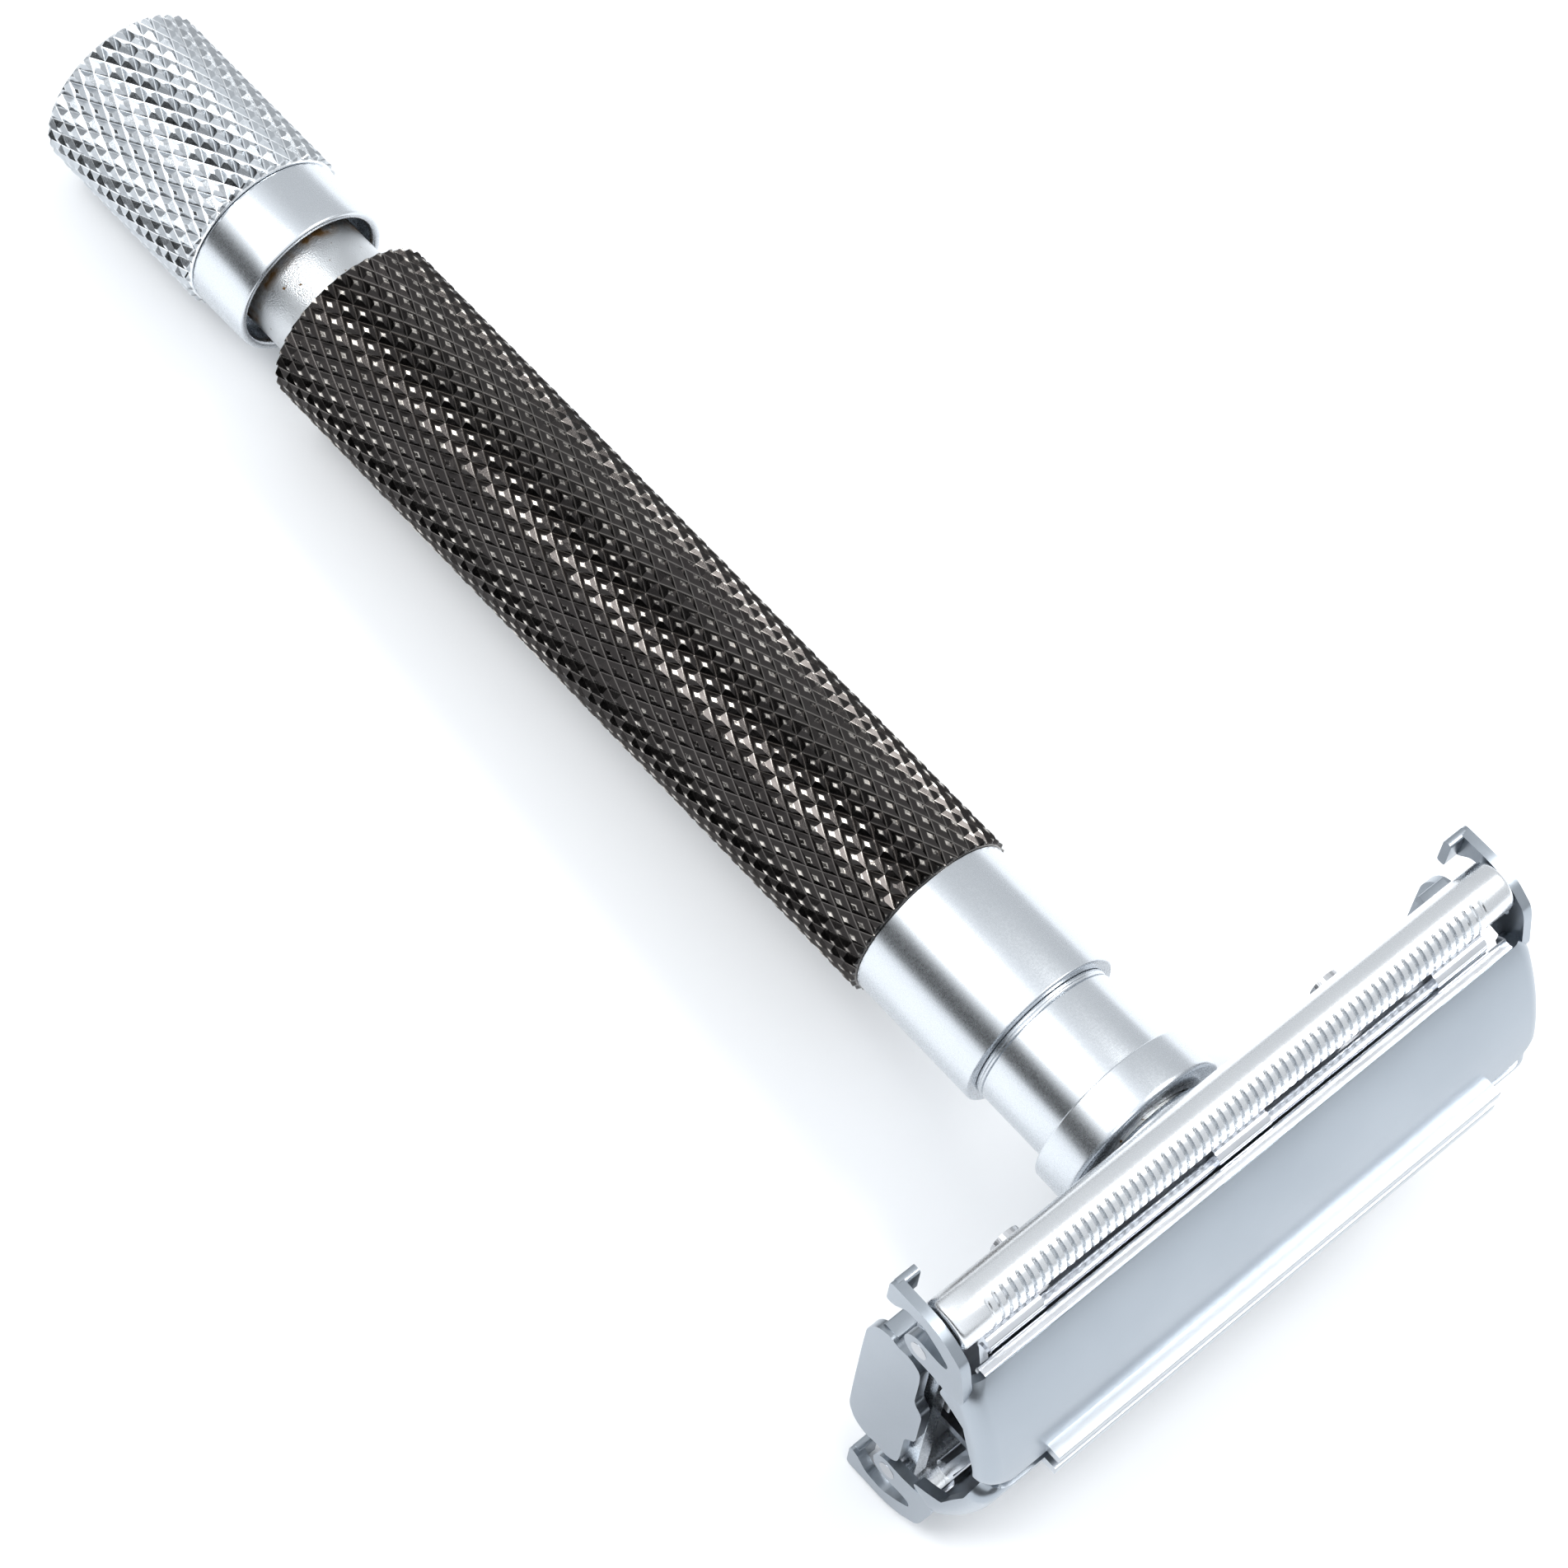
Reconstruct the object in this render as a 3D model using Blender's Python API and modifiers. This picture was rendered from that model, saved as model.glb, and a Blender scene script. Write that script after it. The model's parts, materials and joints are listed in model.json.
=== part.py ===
"""Twist-to-open safety razor, lying on its side with its two blade doors closed.

The razor is modelled in its own frame and then laid down by one empty:
  X runs along the head, Y from guard to guard, Z along the handle from the knob to the head.
Turning the knob drives a lead screw, which lifts the carriage out of the head and swings the doors open.
All sizes are in metres.
"""

import math

import bmesh
import bpy
from mathutils import Matrix

# ---- clearances ----
GAP = 0.0003            # between two pieces that seat on each other
PIN_CLEARANCE = 0.0002  # round a hinge pin
SWING_CLEARANCE = 0.0003
JOIN = 0.00005          # how far a joined shape stays inside its neighbour's faces

# ---- knob ----
KNOB_RADIUS = 0.0060
KNOB_LENGTH = 0.0145
KNOB_CHAMFER = 0.0004
KNOB_COLLAR_RADIUS = 0.00565
KNOB_COLLAR_LENGTH = 0.0045
KNOB_RECESS_DEPTH = 0.0036
RECESS_CLEARANCE = 0.0004
WASHER_THICKNESS = 0.0004

# ---- lead screw and lift rod ----
SCREW_RADIUS = 0.0015
SCREW_SOCKET_DEPTH = 0.0100
SCREW_LENGTH = 0.0357
NUT_LENGTH = 0.0180
NUT_FROM_SCREW_TIP = 0.0120
ROD_CLEARANCE = 0.0003
THRUST_COLLAR_LENGTH = 0.0014
REAR_BUSH_LENGTH = 0.0020
FRONT_BUSH_LENGTH = 0.0050

# ---- handle ----
NECK_LENGTH = 0.00385     # bare tube that shows between the knob and the grip
TUBE_RADIUS = 0.0043
TUBE_BORE = 0.0029
TUBE_FRONT_RADIUS = 0.0036
GRIP_RADIUS = 0.00605
GRIP_LENGTH = 0.0536
GRIP_CHAMFER = 0.0003
FERRULE_RADIUS = 0.0057
FERRULE_LENGTH = 0.00925
NECK_FERRULE_RADIUS = 0.0050
NECK_FERRULE_LENGTH = 0.0056
HEAD_COLLAR_RADIUS = 0.0059
HEAD_COLLAR_LENGTH = 0.0026
EDGE_CHAMFER = 0.0002
SEAT_RADIUS = 0.0048
SEAT_LENGTH = 0.0008

# ---- guard plate ----
GUARD_LENGTH = 0.0420
GUARD_WIDTH = 0.0270
GUARD_BAR_RADIUS = 0.00165
GUARD_BAR_DEPTH = 0.0030
PLATE_END_INSET = 0.0016  # of the plate's ends inside the guard bars' ends
GUARD_FLOOR_WIDTH = 0.0134
GUARD_SHEET = 0.0008
GUARD_DEPTH = 0.00275     # from the bars' centre line down to the plate's underside

# ---- blade rests ----
REST_END_INSET = 0.0017   # of the rests' ends inside the guard bars' ends
REST_SHEET = 0.0007
REST_INNER_Y = 0.0022
REST_INNER_Z = 0.0036
REST_CLEARANCE = 0.00009  # between the rests' tabs and the panel's outer edge
REST_WEB_Y = 0.0032
TAB_LENGTH = 0.0040
TAB_PITCH = 0.0172
TAB_RADIUS = 0.0007
TAB_PROUD = 0.0005        # of the tab's centre line past the rest's edge
TAB_CLEARANCE = 0.0004    # between a tab and the guard bar
RIVET_RADIUS = 0.0007
RIVET_HEAD_RADIUS = 0.0010
RIVET_HEAD = 0.0004
RIVET_X = 0.0125

# ---- doors ----
DOOR_END_INSET = 0.0004   # of the panel's outer edge inside the guard bars' ends
DOOR_SHEET = 0.0007
DOOR_INSET = 0.00105      # of the door's outer edge inside the guard bar
DOOR_OUTER_Z = 0.0030
DOOR_INNER_Y = 0.0005
DOOR_INNER_Z = 0.0063
DOOR_CROWN = 0.0006       # rise of the panel's arc over its chord
LIP_END_INSET = 0.0035    # of the lip's ends inside the guard bars' ends
LIP_HEIGHT = 0.0010
LIP_SHEET = 0.0007
NOTCH_DEPTH = 0.0006      # of the step in the panel's outer edge at each end
FLANGE_SHEET = 0.0007
PIVOT_INSET = 0.0016      # of the hinge pin inside the guard bar
PIVOT_Z = -0.0006
PIN_RADIUS = 0.0006
BOSS_RADIUS = 0.0012
ARM_INSET = 0.0010        # of the arm's outer edge inside the guard bar's outer side
ARM_SHOULDER = 0.0009     # slope of the arm's outer corner
ARM_TOP_Z = 0.0025
ARM_BEND_Z = -0.0022      # where the arm spreads to its ear
ARM_END_Z = -0.0035
EAR_INSET = 0.0004        # of the ear's outer edge inside the guard bar's outer side
EAR_SETBACK = 0.0004      # of the ear's inner edge outside the guard bar's inner side
EAR_REACH = 0.0010
EAR_SHEET = 0.0006
LOBE_MIDDLE_Z = 0.0051    # the lobe's free edge, from the head's middle out to the boss
LOBE_EDGE = ((0.42, 0.0042), (0.74, 0.0030))    # (share of the door's width, height)

# ---- carriage ----
BAR_WIDTH = 0.0020
BAR_TOP = 0.0009
BAR_BOTTOM = -0.0016
LUG_X = 0.0105
LUG_LENGTH = 0.0050
LUG_TOP = 0.0043
BRACKET_SHEET = 0.0010
BRACKET_TOP = 0.0006
BRACKET_BOTTOM = -0.0018
END_PLATE_SHEET = 0.0007
END_PLATE_TOP = 0.0
END_PLATE_BOTTOM = -0.0043
END_PLATE_TONGUE = 0.0008
TONGUE_HALF_WIDTH = 0.0017
RETURN_REACH = 0.0016     # of the end plate's turned-in sides
RETURN_TOP = -0.0022
CORNER_RADIUS = 0.0020

# ---- facets ----
ROUND_STEPS = 48
SMALL_STEPS = 24
ARC_STEPS = 8

# ---- places along the handle, worked out from the sizes ----
KNOB_COLLAR_Z = KNOB_LENGTH + GAP
KNOB_FRONT_Z = KNOB_COLLAR_Z + KNOB_COLLAR_LENGTH
RECESS_FLOOR_Z = KNOB_FRONT_Z - KNOB_RECESS_DEPTH
WASHER_Z = RECESS_FLOOR_Z + GAP
TUBE_REAR_Z = WASHER_Z + WASHER_THICKNESS + GAP
REAR_BUSH_Z = TUBE_REAR_Z + GAP
THRUST_COLLAR_Z = REAR_BUSH_Z + REAR_BUSH_LENGTH + GAP
GRIP_Z = KNOB_FRONT_Z + NECK_LENGTH
FERRULE_Z = GRIP_Z + GRIP_LENGTH + GAP
TUBE_SHOULDER_Z = FERRULE_Z + FERRULE_LENGTH
NECK_FERRULE_Z = TUBE_SHOULDER_Z + GAP
HEAD_COLLAR_Z = NECK_FERRULE_Z + NECK_FERRULE_LENGTH + GAP
SEAT_Z = HEAD_COLLAR_Z + HEAD_COLLAR_LENGTH + GAP
GUARD_UNDERSIDE_Z = SEAT_Z + SEAT_LENGTH + GAP
HEAD_Z = GUARD_UNDERSIDE_Z + GUARD_DEPTH     # the guard bars' centre line
TUBE_FRONT_Z = SEAT_Z
SCREW_Z = KNOB_LENGTH - SCREW_SOCKET_DEPTH + GAP
SCREW_TIP_Z = SCREW_Z + SCREW_LENGTH
NUT_Z = SCREW_TIP_Z - NUT_FROM_SCREW_TIP
ROD_Z = SCREW_TIP_Z + 2 * GAP
ROD_TOP_Z = HEAD_Z + BAR_BOTTOM - GAP
FRONT_BUSH_Z = TUBE_FRONT_Z - FRONT_BUSH_LENGTH - GAP

# ---- places along the head, worked out from the sizes ----
FLANGE_X = GUARD_LENGTH / 2 + SWING_CLEARANCE
END_PLATE_X = FLANGE_X
BRACKET_X = FLANGE_X - SWING_CLEARANCE - BRACKET_SHEET
BAR_HALF_LENGTH = BRACKET_X - GAP
PLATE_HALF_LENGTH = GUARD_LENGTH / 2 - PLATE_END_INSET
REST_HALF_LENGTH = GUARD_LENGTH / 2 - REST_END_INSET
LIP_HALF_LENGTH = GUARD_LENGTH / 2 - LIP_END_INSET
PIN_OUTER_X = FLANGE_X + FLANGE_SHEET
BUSH_RADIUS = TUBE_BORE - GAP
SLIDE_BORE = SCREW_RADIUS + ROD_CLEARANCE

# ---- places across the head, worked out from the sizes ----
GUARD_HALF_WIDTH = GUARD_WIDTH / 2
BAR_INNER_Y = GUARD_HALF_WIDTH - GUARD_BAR_DEPTH
TAB_Y = BAR_INNER_Y - TAB_CLEARANCE - TAB_RADIUS
REST_OUTER_Y = TAB_Y - TAB_PROUD
REST_WEB_OUTER_Y = REST_WEB_Y + REST_SHEET
REST_FOOT_Y = GUARD_FLOOR_WIDTH / 2 - GAP
RIVET_Y = (REST_WEB_OUTER_Y + REST_FOOT_Y) / 2
DOOR_OUTER_Y = BAR_INNER_Y - DOOR_INSET
NOTCH_Y = DOOR_OUTER_Y - NOTCH_DEPTH
PIVOT_Y = BAR_INNER_Y - PIVOT_INSET
ARM_OUTER_Y = GUARD_HALF_WIDTH - ARM_INSET
EAR_INNER_Y = BAR_INNER_Y + EAR_SETBACK
EAR_OUTER_Y = GUARD_HALF_WIDTH - EAR_INSET
BRACKET_HALF_WIDTH = PIVOT_Y + BOSS_RADIUS - GAP
END_PLATE_HALF_WIDTH = PIVOT_Y - BOSS_RADIUS - 2 * GAP


def panel_circle():
    """Centre and radius of the arc that a door panel's outer face follows."""
    run = DOOR_OUTER_Y - DOOR_INNER_Y
    rise = DOOR_INNER_Z - DOOR_OUTER_Z
    chord = math.hypot(run, rise)
    radius = chord ** 2 / (8 * DOOR_CROWN) + DOOR_CROWN / 2
    middle = ((DOOR_OUTER_Y + DOOR_INNER_Y) / 2, (DOOR_OUTER_Z + DOOR_INNER_Z) / 2)
    back = radius - DOOR_CROWN
    return (middle[0] - rise / chord * back, middle[1] - run / chord * back), radius


PANEL_CENTRE, PANEL_RADIUS = panel_circle()
PANEL_EDGE_UNDER_Z = PANEL_CENTRE[1] + math.sqrt(
    (PANEL_RADIUS - DOOR_SHEET) ** 2 - (DOOR_OUTER_Y - PANEL_CENTRE[0]) ** 2)
REST_OUTER_Z = PANEL_EDGE_UNDER_Z - REST_CLEARANCE

# ---- how the razor lies ----
LIE_ANGLE = math.atan2(GUARD_HALF_WIDTH - KNOB_RADIUS, HEAD_Z - KNOB_CHAMFER)

STEEL = (0.60, 0.63, 0.67)
BRIGHT_STEEL = (0.72, 0.74, 0.77)
GUNMETAL = (0.035, 0.032, 0.030)
BRASS = (0.62, 0.47, 0.22)


def clear_scene():
    for item in list(bpy.data.objects):
        bpy.data.objects.remove(item, do_unlink=True)


def new_collection(name):
    collection = bpy.data.collections.new(name)
    bpy.context.scene.collection.children.link(collection)
    return collection


clear_scene()
PARTS = new_collection("safety_razor")
CUTTERS = new_collection("cutters")


def new_frame():
    """The empty that lays the razor on its side, lowest points at Z = 0 and the box centred on X."""
    frame = bpy.data.objects.new("razor_frame", None)
    PARTS.objects.link(frame)
    cosine = math.cos(LIE_ANGLE)
    sine = math.sin(LIE_ANGLE)
    low_x = -(KNOB_RADIUS - KNOB_CHAMFER) * sine
    high_x = (HEAD_Z + DOOR_INNER_Z + LIP_HEIGHT) * cosine + (DOOR_INNER_Y + LIP_SHEET) * sine
    low_z = KNOB_CHAMFER * sine - KNOB_RADIUS * cosine
    axes = Matrix(((0, -sine, cosine), (1, 0, 0), (0, cosine, sine))).to_4x4()
    frame.matrix_world = Matrix.Translation((-(low_x + high_x) / 2, 0, -low_z)) @ axes
    return frame


FRAME = new_frame()


def new_material(name, colour, roughness, metallic=1.0):
    made = bpy.data.materials.new(name)
    made.use_nodes = True
    shader = made.node_tree.nodes["Principled BSDF"]
    shader.inputs["Base Color"].default_value = (*colour, 1.0)
    shader.inputs["Roughness"].default_value = roughness
    shader.inputs["Metallic"].default_value = metallic
    return made


def place(piece, colour, roughness, metallic=1.0, at=(0, 0, 0)):
    """Give a piece its own material and stand it in the razor's frame."""
    piece.data.materials.clear()
    piece.data.materials.append(new_material(piece.name, colour, roughness, metallic))
    piece.parent = FRAME
    piece.location = at
    return piece


def as_cutter(piece, at=(0, 0, 0)):
    piece.parent = FRAME
    piece.location = at
    piece.hide_render = True
    piece.display_type = "WIRE"
    return piece


def turned(name, profile, steps=ROUND_STEPS, closed=True, collection=PARTS):
    """A profile of (radius, height) points, outer side first and downwards, turned about Z."""
    mesh = bpy.data.meshes.new(name)
    count = len(profile)
    edges = [(i, i + 1) for i in range(count - 1)]
    if closed:
        edges.append((count - 1, 0))
    mesh.from_pydata([(radius, 0, height) for radius, height in profile], edges, [])
    piece = bpy.data.objects.new(name, mesh)
    collection.objects.link(piece)
    screw = piece.modifiers.new("turn", "SCREW")
    screw.axis = "Z"
    screw.steps = steps
    screw.render_steps = steps
    screw.use_merge_vertices = True
    screw.merge_threshold = 0.00001
    screw.use_smooth_shade = True
    return piece


def ring_profile(outer, inner, low, high, chamfer=0.0):
    """A ring's section, its two outer edges chamfered."""
    if chamfer == 0:
        return [(outer, high), (outer, low), (inner, low), (inner, high)]
    return [(outer - chamfer, high), (outer, high - chamfer), (outer, low + chamfer),
            (outer - chamfer, low), (inner, low), (inner, high)]


def arc(centre, radius, start, end, steps=ARC_STEPS):
    """Points on an arc in a flat outline, its angles in degrees."""
    points = []
    for i in range(steps + 1):
        angle = math.radians(start + (end - start) * i / steps)
        points.append((centre[0] + radius * math.cos(angle), centre[1] + radius * math.sin(angle)))
    return points


def rectangle(low_y, low_z, high_y, high_z):
    return [(low_y, low_z), (high_y, low_z), (high_y, high_z), (low_y, high_z)]


def mirrored(points):
    """The same outline on the other side of the head's middle."""
    return [(-y, z) for y, z in reversed(points)]


def prism(name, outline, low_x, high_x, collection=PARTS):
    """A flat outline of (y, z) points, extruded along the head from low_x to high_x."""
    curve = bpy.data.curves.new(name, "CURVE")
    curve.dimensions = "2D"
    curve.fill_mode = "BOTH"
    curve.extrude = (high_x - low_x) / 2
    spline = curve.splines.new("POLY")
    spline.points.add(len(outline) - 1)
    for point, (y, z) in zip(spline.points, outline):
        point.co = (y, z, 0, 1)
    spline.use_cyclic_u = True
    holder = bpy.data.objects.new(name, curve)
    CUTTERS.objects.link(holder)
    bpy.context.view_layer.update()
    mesh = bpy.data.meshes.new_from_object(holder.evaluated_get(bpy.context.evaluated_depsgraph_get()))
    bpy.data.objects.remove(holder, do_unlink=True)
    bpy.data.curves.remove(curve)
    mesh.name = name
    upright = Matrix(((0, 0, 1, (low_x + high_x) / 2), (1, 0, 0, 0), (0, 1, 0, 0), (0, 0, 0, 1)))
    work = bmesh.new()
    work.from_mesh(mesh)
    bmesh.ops.remove_doubles(work, verts=work.verts, dist=0.000001)
    bmesh.ops.transform(work, matrix=upright, verts=work.verts)
    bmesh.ops.recalc_face_normals(work, faces=work.faces)
    work.to_mesh(mesh)
    work.free()
    piece = bpy.data.objects.new(name, mesh)
    collection.objects.link(piece)
    return piece


def rod_along_x(name, radius, low_x, high_x, y, z, collection=PARTS):
    """A round rod lying along the head."""
    mesh = bpy.data.meshes.new(name)
    work = bmesh.new()
    bmesh.ops.create_cone(work, cap_ends=True, segments=SMALL_STEPS, radius1=radius, radius2=radius,
                          depth=high_x - low_x)
    turn = Matrix.Rotation(math.radians(90), 4, "Y")
    bmesh.ops.transform(work, matrix=Matrix.Translation(((low_x + high_x) / 2, y, z)) @ turn,
                        verts=work.verts)
    work.to_mesh(mesh)
    work.free()
    piece = bpy.data.objects.new(name, mesh)
    collection.objects.link(piece)
    return piece


def block(name, low, high, collection=PARTS):
    """A box between two corners."""
    mesh = bpy.data.meshes.new(name)
    work = bmesh.new()
    bmesh.ops.create_cube(work, size=1.0)
    size = Matrix.Diagonal([high[i] - low[i] for i in range(3)] + [1.0])
    middle = Matrix.Translation([(high[i] + low[i]) / 2 for i in range(3)])
    bmesh.ops.transform(work, matrix=middle @ size, verts=work.verts)
    work.to_mesh(mesh)
    work.free()
    piece = bpy.data.objects.new(name, mesh)
    collection.objects.link(piece)
    return piece


def combine(piece, other, operation, at=(0, 0, 0)):
    as_cutter(other, at)
    step = piece.modifiers.new(other.name, "BOOLEAN")
    step.operation = operation
    step.object = other


# ---------------------------------------------------------------- knob

def make_knob_body():
    socket_floor = KNOB_LENGTH - SCREW_SOCKET_DEPTH
    profile = [
        (SLIDE_BORE, KNOB_LENGTH),
        (KNOB_RADIUS - EDGE_CHAMFER, KNOB_LENGTH),
        (KNOB_RADIUS, KNOB_LENGTH - EDGE_CHAMFER),
        (KNOB_RADIUS, KNOB_CHAMFER),
        (KNOB_RADIUS - KNOB_CHAMFER, 0),
        (0, 0),
    ]
    bore = [(0, socket_floor), (SLIDE_BORE, socket_floor)]
    piece = turned("knob_body", bore + profile, closed=False)
    return place(piece, STEEL, 0.30)


def make_knob_collar():
    recess = TUBE_RADIUS + RECESS_CLEARANCE
    profile = [
        (KNOB_COLLAR_RADIUS - EDGE_CHAMFER, KNOB_FRONT_Z),
        (KNOB_COLLAR_RADIUS, KNOB_FRONT_Z - EDGE_CHAMFER),
        (KNOB_COLLAR_RADIUS, KNOB_COLLAR_Z),
        (SLIDE_BORE, KNOB_COLLAR_Z),
        (SLIDE_BORE, RECESS_FLOOR_Z),
        (recess, RECESS_FLOOR_Z),
        (recess, KNOB_FRONT_Z),
    ]
    return place(turned("knob_collar", profile), BRIGHT_STEEL, 0.25)


def make_lead_screw():
    profile = [
        (0, SCREW_TIP_Z),
        (SCREW_RADIUS - EDGE_CHAMFER, SCREW_TIP_Z),
        (SCREW_RADIUS, SCREW_TIP_Z - EDGE_CHAMFER),
        (SCREW_RADIUS, SCREW_Z),
        (0, SCREW_Z),
    ]
    return place(turned("lead_screw", profile, SMALL_STEPS, closed=False), BRASS, 0.35)


def make_knob_rings():
    washer = ring_profile(TUBE_RADIUS - GAP, SLIDE_BORE, WASHER_Z, WASHER_Z + WASHER_THICKNESS)
    place(turned("tension_washer", washer), STEEL, 0.40)
    top = THRUST_COLLAR_Z + THRUST_COLLAR_LENGTH
    collar = ring_profile(BUSH_RADIUS, SLIDE_BORE, THRUST_COLLAR_Z, top)
    place(turned("thrust_collar", collar, SMALL_STEPS), BRASS, 0.35)


# ---------------------------------------------------------------- handle

def make_handle_tube():
    profile = [
        (TUBE_FRONT_RADIUS, TUBE_FRONT_Z),
        (TUBE_FRONT_RADIUS, TUBE_SHOULDER_Z),
        (TUBE_RADIUS, TUBE_SHOULDER_Z),
        (TUBE_RADIUS, TUBE_REAR_Z),
        (TUBE_BORE, TUBE_REAR_Z),
        (TUBE_BORE, TUBE_FRONT_Z),
    ]
    return place(turned("handle_tube", profile), STEEL, 0.35)


def make_handle_rings():
    bore = TUBE_RADIUS + GAP
    front_bore = TUBE_FRONT_RADIUS + GAP
    grip = ring_profile(GRIP_RADIUS, bore, GRIP_Z, GRIP_Z + GRIP_LENGTH, GRIP_CHAMFER)
    place(turned("grip_sleeve", grip), GUNMETAL, 0.45, 0.7)
    ferrule = ring_profile(FERRULE_RADIUS, bore, FERRULE_Z, FERRULE_Z + FERRULE_LENGTH, EDGE_CHAMFER)
    place(turned("front_ferrule", ferrule), BRIGHT_STEEL, 0.28)
    top = NECK_FERRULE_Z + NECK_FERRULE_LENGTH
    neck = ring_profile(NECK_FERRULE_RADIUS, front_bore, NECK_FERRULE_Z, top, EDGE_CHAMFER)
    place(turned("neck_ferrule", neck), BRIGHT_STEEL, 0.28)
    top = HEAD_COLLAR_Z + HEAD_COLLAR_LENGTH
    collar = ring_profile(HEAD_COLLAR_RADIUS, front_bore, HEAD_COLLAR_Z, top, EDGE_CHAMFER)
    place(turned("head_collar", collar), BRIGHT_STEEL, 0.28)
    seat = ring_profile(SEAT_RADIUS, TUBE_BORE, SEAT_Z + GAP, SEAT_Z + SEAT_LENGTH)
    place(turned("guard_seat", seat), STEEL, 0.35)


def make_bushes():
    rear = ring_profile(BUSH_RADIUS, SLIDE_BORE, REAR_BUSH_Z, REAR_BUSH_Z + REAR_BUSH_LENGTH)
    place(turned("rear_bush", rear, SMALL_STEPS), BRASS, 0.40)
    front = ring_profile(BUSH_RADIUS, SLIDE_BORE, FRONT_BUSH_Z, FRONT_BUSH_Z + FRONT_BUSH_LENGTH)
    place(turned("front_bush", front, SMALL_STEPS), BRASS, 0.40)


# ---------------------------------------------------------------- guard plate and blade rests

def guard_outline():
    """Section of the plate: a flat floor, two slopes and a half-round bar along each side."""
    centre = (GUARD_HALF_WIDTH - GUARD_BAR_RADIUS, 0.0)
    floor = GUARD_FLOOR_WIDTH / 2
    under = -GUARD_DEPTH
    outer = [(floor, under)] + arc(centre, GUARD_BAR_RADIUS, -100, 90, 2 * ARC_STEPS)
    inner = [(BAR_INNER_Y, GUARD_BAR_RADIUS), (BAR_INNER_Y, -GUARD_BAR_RADIUS / 3),
             (floor, under + GUARD_SHEET)]
    half = outer + inner
    return half + mirrored(half)


def rivet_places():
    return [(side_x * RIVET_X, side_y * RIVET_Y) for side_x in (-1, 1) for side_y in (-1, 1)]


def rivet_holes(name):
    """Four round cutters through the plate and the rests' feet, clear of each other."""
    mesh = bpy.data.meshes.new(name)
    work = bmesh.new()
    for x, y in rivet_places():
        bmesh.ops.create_cone(work, cap_ends=True, segments=SMALL_STEPS,
                              radius1=RIVET_RADIUS + PIN_CLEARANCE, radius2=RIVET_RADIUS + PIN_CLEARANCE,
                              depth=2 * GUARD_DEPTH, matrix=Matrix.Translation((x, y, -GUARD_DEPTH)))
    work.to_mesh(mesh)
    work.free()
    piece = bpy.data.objects.new(name, mesh)
    CUTTERS.objects.link(piece)
    return piece


def make_guard_plate():
    at = (0, 0, HEAD_Z)
    piece = prism("guard_plate", guard_outline(), -GUARD_LENGTH / 2, GUARD_LENGTH / 2)
    clear_y = BAR_INNER_Y - GAP / 2
    deep = 2 * GUARD_DEPTH
    for side in (-1, 1):
        ends = sorted((side * PLATE_HALF_LENGTH, side * GUARD_LENGTH))
        low = (ends[0], -clear_y, -deep)
        high = (ends[1], clear_y, deep)
        notch = block(f"end_notch_{side + 1}", low, high, CUTTERS)
        combine(piece, notch, "DIFFERENCE", at)
    hole = turned("rod_hole", [(0, 0), (TUBE_BORE, 0), (TUBE_BORE, -deep), (0, -deep)],
                  closed=False, collection=CUTTERS)
    combine(piece, hole, "DIFFERENCE", at)
    combine(piece, rivet_holes("guard_rivet_holes"), "DIFFERENCE", at)
    return place(piece, BRIGHT_STEEL, 0.30, at=at)


def rest_outline():
    """Section of one rest: a foot on the plate, a web, and a sloping top that carries the blade."""
    foot = -GUARD_DEPTH + GUARD_SHEET + GAP
    web = REST_WEB_OUTER_Y
    slope = (REST_OUTER_Z - REST_INNER_Z) / (REST_OUTER_Y - REST_INNER_Y)
    under_web = REST_INNER_Z - REST_SHEET + slope * (web - REST_INNER_Y)
    under_back = REST_INNER_Z - REST_SHEET + slope * (REST_WEB_Y - REST_INNER_Y)
    return [
        (REST_WEB_Y, foot), (REST_FOOT_Y, foot), (REST_FOOT_Y, foot + REST_SHEET),
        (web, foot + REST_SHEET), (web, under_web), (REST_OUTER_Y, REST_OUTER_Z - REST_SHEET),
        (REST_OUTER_Y, REST_OUTER_Z), (REST_INNER_Y, REST_INNER_Z),
        (REST_INNER_Y, REST_INNER_Z - REST_SHEET), (REST_WEB_Y, under_back),
    ]


def make_blade_rest(name, side):
    """A long rest with three round tabs on its outer edge."""
    at = (0, 0, HEAD_Z)
    outline = rest_outline()
    if side < 0:
        outline = mirrored(outline)
    piece = prism(name, outline, -REST_HALF_LENGTH, REST_HALF_LENGTH)
    y = side * TAB_Y
    z = REST_OUTER_Z - TAB_RADIUS
    for i in (-1, 0, 1):
        middle = i * TAB_PITCH
        tab = rod_along_x(f"{name}_tab_{i + 1}", TAB_RADIUS, middle - TAB_LENGTH / 2,
                          middle + TAB_LENGTH / 2, y, z + JOIN, CUTTERS)
        combine(piece, tab, "UNION", at)
    combine(piece, rivet_holes(name + "_holes"), "DIFFERENCE", at)
    return place(piece, BRIGHT_STEEL, 0.22, at=at)


def make_rest_rivets():
    """Four rivets that hold the rests' feet to the plate."""
    low = -GUARD_DEPTH - GAP
    high = -GUARD_DEPTH + GUARD_SHEET + REST_SHEET + 2 * GAP
    profile = [
        (0, high + RIVET_HEAD),
        (RIVET_HEAD_RADIUS, high + RIVET_HEAD),
        (RIVET_HEAD_RADIUS, high),
        (RIVET_RADIUS, high),
        (RIVET_RADIUS, low),
        (RIVET_HEAD_RADIUS, low),
        (RIVET_HEAD_RADIUS, low - RIVET_HEAD),
        (0, low - RIVET_HEAD),
    ]
    for number, (x, y) in enumerate(rivet_places(), 1):
        piece = turned(f"rest_rivet_{number}", profile, SMALL_STEPS, closed=False)
        place(piece, STEEL, 0.35, at=(x, y, HEAD_Z))


# ---------------------------------------------------------------- carriage

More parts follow.
